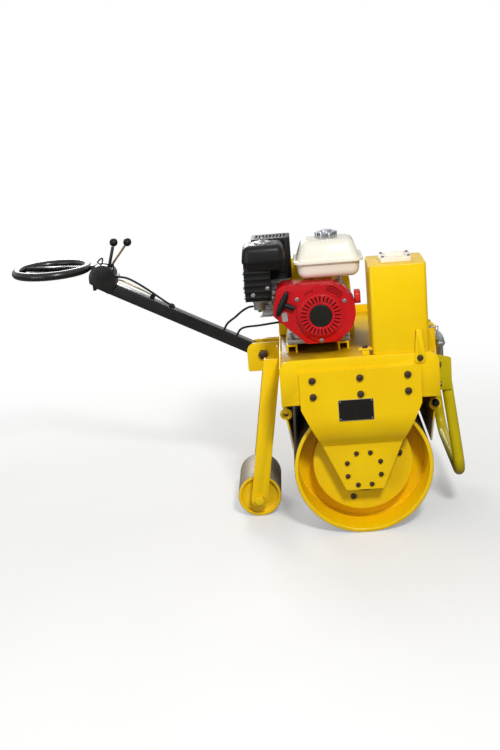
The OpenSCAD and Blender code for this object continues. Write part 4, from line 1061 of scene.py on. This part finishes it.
class RollerTank(Operator):
    """Water tank with its cover, outlet pipe, lug chain and screws"""

    bl_idname = "roller.water_tank"
    bl_label = "Water tank"

    def execute(self, context):
        soften("water_tank", yellow_enamel, 1.5, steps=3)
        soften("tank_cover", cream_moulding, 1.6)
        soften("water_pipe", zinc_plate, 0.8)
        self.chain()
        low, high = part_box("tank_cover")
        rows = [aim((x, y, high.z - mm(4)), UP, x * 40) for x in (low.x + mm(9), high.x - mm(9))
                for y in (low.y + mm(9), high.y - mm(9))]
        hang(copies(pan_screw(mm(4.5)), rows), "cover_screws", "chassis", oiled_steel)
        self.unions()
        self.hold_down()
        return {"FINISHED"}

    def unions(self):
        """Hexagon union nut and banded elbow on the outlet pipe"""
        nut = chamfer(chamfer(disc(mm(19), mm(12), 6), mm(12), mm(1.6)), 0, mm(1.6))
        low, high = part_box("water_pipe")
        middle = (low.y + high.y) / 2
        height = mm(594)
        rows = [aim((low.x + mm(1.5), middle, height), FRONT, 0.26)]
        hang(copies(nut, rows), "pipe_union", "chassis", zinc_plate, 30)
        turn, across = mm(24), high.x - mm(15)
        centre = Vector((across - turn, middle, height - turn))
        angles = [math.radians(6 * i) for i in range(16)]
        bend = [centre + turn * Vector((math.sin(a), 0, math.cos(a))) for a in angles]
        start, end = bend[0] - mm(9) * FRONT, bend[-1] - mm(9) * UP
        band = chamfer(chamfer(disc(mm(18), mm(8), 40), mm(8), mm(2), 3), 0, mm(2), 3)
        bands = copies(band, [aim(start, FRONT), aim(end, UP)])
        elbow = tube("elbow", [start, *bend, end], mm(31))
        hang(join(elbow, bands), "pipe_elbow", "chassis", zinc_plate, 50)

    def chain(self):
        """Small welded links that hang from the lug's bore, alternately turned"""
        low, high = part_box("tie_lug")
        y, z = (low.y + high.y) / 2, high.z - mm(12)
        quarter = math.radians(90)
        flat, end = Matrix(), Matrix.Rotation(quarter, 4, "Y")
        side = Matrix.Rotation(quarter, 4, "Z") @ end
        links = []
        # Each link in millimetres: place past the lug, drop below its bore, stretch and half width; its turn
        for x, drop, reach, width, turn in ((-5, 0, 10, 6.7, flat), (5.5, 7, 8, 4, side),
                                            (5.5, 18.5, 8, 4, end), (5.5, 30, 8, 4, side)):
            link = hoop(mm(width), mm(1.5), 26, 10)
            pick_verts(link, lambda p: p.x > 0)
            bpy.ops.transform.translate(value=(mm(reach), 0, 0))
            bpy.ops.mesh.select_all(action="SELECT")
            bpy.ops.transform.translate(value=(-mm(reach) / 2, 0, 0))
            object_mode()
            link.matrix_world = Matrix.Translation((high.x + mm(x), y, z - mm(drop))) @ turn
            links.append(link)
        chain = hang(join(*links), "lug_chain_links", "chassis", zinc_plate, 60)
        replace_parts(chain, "lug_chain")

    def hold_down(self):
        """Folded clip on the deck that holds the tank's foot, with its bolt"""
        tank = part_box("water_tank")[0]
        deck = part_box("frame_deck")[1].z
        y = mm(-322)
        foot = block((mm(22), mm(20), mm(39)), (tank.x - mm(21), y, deck + mm(19.5)))
        leaf = block((mm(42), mm(26), mm(5)), (tank.x - mm(21.5), y, deck + mm(41.5)))
        piece = join(foot, leaf)
        round_edges(piece, 1.5)
        hang(piece, "tank_clip", "chassis", yellow_enamel)
        bolt_set("tank_clip_bolt", mm(13), [aim((tank.x - mm(22), y, deck + mm(44)), UP, 0.3)])


# Handle tube: a point on its axis and its half thickness in millimetres, and its slope
HANDLE_X, HANDLE_Z, HANDLE_HALF, HANDLE_SLOPE = -289, 524, 19, math.radians(28)


class RollerHandle(Operator):
    """Handle tube, control head, levers and steering ring"""

    bl_idname = "roller.handle"
    bl_label = "Handle"

    def execute(self, context):
        soften("handle_arm", black_enamel, 3, steps=3)
        soften("control_head", black_enamel, 2.5, steps=3)
        soften("lever_rods", lever_paint, 0.5, 50)
        soften("lever_knobs", black_moulding, 0, 60)
        soften("handle_ring", black_enamel, 0, 60)
        soften("ring_bar", black_enamel, 1)
        self.rod()
        self.hooks()
        return {"FINISHED"}

    def rod(self):
        """Plated control rod along the tube's top, with its clip and the cable's clip"""
        points = ((-737.5, 9, 794), (-728, 9, 793), (-716, 9, 787), (-690, 9, 772), (-664, 9, 757),
                  (-646, 9, 746), (-636, 9, 739))
        route = smooth_route([at(*p) for p in points])
        hang(tube("control_rod", route, mm(5)), "control_rod", "handle", brass_rod, 60)
        rows = []
        for x, y in ((-632, 9), (-572, -8)):
            top = HANDLE_Z + (HANDLE_X - x) * math.tan(HANDLE_SLOPE) + HANDLE_HALF / math.cos(HANDLE_SLOPE)
            rows.append(Matrix.Translation(at(x, y, top)) @ Matrix.Rotation(HANDLE_SLOPE, 4, "Y"))
        clip = block((mm(16), mm(14), mm(12)), (0, 0, mm(6)))
        bevel(clip, lambda a, b: a.z > mm(1) and b.z > mm(1), mm(4), 4)
        hang(copies(clip, rows), "cable_clips", "handle", black_moulding, 50)

    def hooks(self):
        """Wire hook, stop and adjuster knob on the control head"""
        wires = []
        for points in (((-778, -26, 846), (-779, -26, 853), (-788, -26, 860), (-786, -26, 866),
                        (-774, -26, 874), (-772, -26, 870), (-774, -26, 858)),
                       ((-742, -26, 822), (-741, -26, 836), (-740, -26, 850), (-741, -26, 856))):
            wires.append(tube("wire", smooth_route([at(*p) for p in points]), mm(5)))
        hang(join(*wires), "head_hooks", "handle", black_enamel, 60)
        knob = chamfer(chamfer(disc(mm(8), mm(9), 24), mm(9), mm(2.5), 3), 0, mm(1), 1)
        knob.matrix_world = aim(at(-738.3, 14, 808), FRONT)
        hang(knob, "adjuster_knob", "handle", bright_steel, 40)


class RollerStage(Operator):
    """Pale floor, soft studio light and the camera at the photograph's angle"""

    bl_idname = "roller.stage"
    bl_label = "Stage"

    def execute(self, context):
        scene = context.scene
        scene.view_settings.view_transform = "Standard"
        self.camera(scene)
        self.floor()
        self.world(scene)
        self.lamps()
        return {"FINISHED"}

    def camera(self, scene):
        """The photograph's own camera: it looks down 15.6 degrees and is rolled by 4.8"""
        yaw, pitch, roll = (math.radians(a) for a in (-2.6, 15.6, -4.8))
        ahead = Vector((math.sin(yaw) * math.cos(pitch), math.cos(yaw) * math.cos(pitch), -math.sin(pitch)))
        right = Vector((math.cos(yaw), -math.sin(yaw), 0))
        above = right.cross(ahead)
        right, above = (math.cos(roll) * right + math.sin(roll) * above,
                        -math.sin(roll) * right + math.cos(roll) * above)
        clear()
        bpy.ops.object.camera_add()
        eye = bpy.context.object
        eye.matrix_world = Matrix.Translation(at(-167.6, -3762.8, 1501.1)) @ Matrix(
            (right, above, -ahead)).transposed().to_4x4()
        eye.data.sensor_fit = "HORIZONTAL"
        eye.data.sensor_width = 36
        eye.data.lens = sizes().lens
        eye.data.clip_end = 200
        scene.camera = eye

    def floor(self):
        """Pale paper that keeps the shadow near the object and fades to white"""
        clear()
        bpy.ops.mesh.primitive_circle_add(vertices=96, radius=60, fill_type="NGON", location=(0, 0, -mm(0.3)))
        ground = settle(bpy.context.object)
        ground.name = "studio_floor"
        mat = bpy.data.materials.new("floor_paper")
        mat.use_nodes = True
        tree = mat.node_tree
        tree.nodes.clear()
        place = add(tree, "TexCoord").outputs["Object"]
        grain = add(tree, "TexNoise", {"Scale": per(400), "Detail": 3.0}, {"Vector": place})
        tone = add(tree, "Mix", {"data_type": "RGBA", 6: rgba(colours().floor), 7: rgba("F4F4F2")},
                   {0: grain})
        seen = add(tree, "LightPath").outputs["Is Camera Ray"]
        # Pale where it is seen, and dull to the object, so that the undersides stay dark as they do outdoors
        dull = add(tree, "Mix", {"data_type": "RGBA", 6: rgba("8F8C86")}, {0: seen, 7: tone.outputs[2]})
        paper = add(tree, "BsdfDiffuse", {}, {"Color": dull.outputs[2]})
        glow = add(tree, "Emission", {"Color": (1, 1, 1, 1), "Strength": 1.0})
        far = add(tree, "VectorMath", {"operation": "LENGTH"}, {0: place})
        fade = add(tree, "MapRange", {"From Min": 0.85, "From Max": 2.3, "To Min": 0.3,
                                      "interpolation_type": "SMOOTHSTEP"}, {"Value": far.outputs[1]})
        share = add(tree, "Math", {"operation": "MULTIPLY"}, {0: fade, 1: seen})
        both = add(tree, "MixShader", {}, {0: share, 1: paper, 2: glow})
        add(tree, "OutputMaterial", links={"Surface": both})
        ground.data.materials.append(mat)

    def world(self, scene):
        """White sky where it is seen, dimmer in gloss and dimmest as light"""
        sky = bpy.data.worlds.new("studio")
        sky.use_nodes = True
        tree = sky.node_tree
        tree.nodes.clear()
        path = add(tree, "LightPath")
        seen = add(tree, "Math", {"operation": "MAXIMUM"},
                   {0: path.outputs["Is Camera Ray"], 1: path.outputs["Is Transmission Ray"]})
        shine = add(tree, "Math", {"operation": "MULTIPLY", 1: 0.6}, {0: path.outputs["Is Glossy Ray"]})
        most = add(tree, "Math", {"operation": "MAXIMUM"}, {0: seen, 1: shine})
        level = add(tree, "MapRange", {"To Min": 0.29, "To Max": 1.0}, {"Value": most})
        glow = add(tree, "Background", {"Color": (1, 1, 1, 1)}, {"Strength": level})
        add(tree, "OutputWorld", links={"Surface": glow})
        scene.world = sky

    def lamps(self):
        """One small key, and soft lamps that fill it in and lift the back and the top"""
        target = Vector((0.1, 0, 0.45))
        for name, place, size, power in (
                ("key", (1.0, -3.5, 3.3), 0.6, 136), ("fill", (-3.0, -3.4, 1.3), 2.6, 58),
                ("rear", (-0.9, 3.6, 2.2), 1.6, 88), ("top", (-0.3, 1.0, 3.8), 2.2, 8)):
            clear()
            bpy.ops.object.light_add(type="AREA", location=place)
            lamp = bpy.context.object
            lamp.name = name + "_lamp"
            lamp.data.size = size
            lamp.data.energy = power
            lamp.matrix_world = aim(place, Vector(place) - target)


class RollerPanel(Panel):
    """Sizes, colours and steps of the roller's looks"""

    bl_idname = "VIEW3D_PT_roller"
    bl_label = "Walk-behind roller"
    bl_space_type = "VIEW_3D"
    bl_region_type = "UI"
    bl_category = "Roller"

    def draw(self, context):
        for group in (context.scene.roller_colours, context.scene.roller_sizes):
            box = self.layout.box()
            for name in group.bl_rna.properties.keys():
                if name not in ("rna_type", "name"):
                    box.prop(group, name)
        for step in STEPS:
            self.layout.operator(step.bl_idname)


STEPS = (RollerStage, RollerCables, RollerFrame, RollerDrum, RollerFasteners, RollerPlate, RollerEngine,
         RollerTank, RollerHandle)
CLASSES = (RollerColours, RollerSizes, *STEPS, RollerPanel)


def register():
    for cls in CLASSES:
        bpy.utils.register_class(cls)
    bpy.types.Scene.roller_colours = PointerProperty(type=RollerColours)
    bpy.types.Scene.roller_sizes = PointerProperty(type=RollerSizes)


def unregister():
    del bpy.types.Scene.roller_sizes
    del bpy.types.Scene.roller_colours
    for cls in reversed(CLASSES):
        bpy.utils.unregister_class(cls)


def main():
    register()
    bpy.ops.roller.stage()
    bpy.ops.roller.cables()
    bpy.ops.roller.frame_sheets()
    bpy.ops.roller.drum()
    bpy.ops.roller.fasteners()
    bpy.ops.roller.plate()
    bpy.ops.roller.engine()
    bpy.ops.roller.water_tank()
    bpy.ops.roller.handle()


if __name__ == "__main__":
    main()
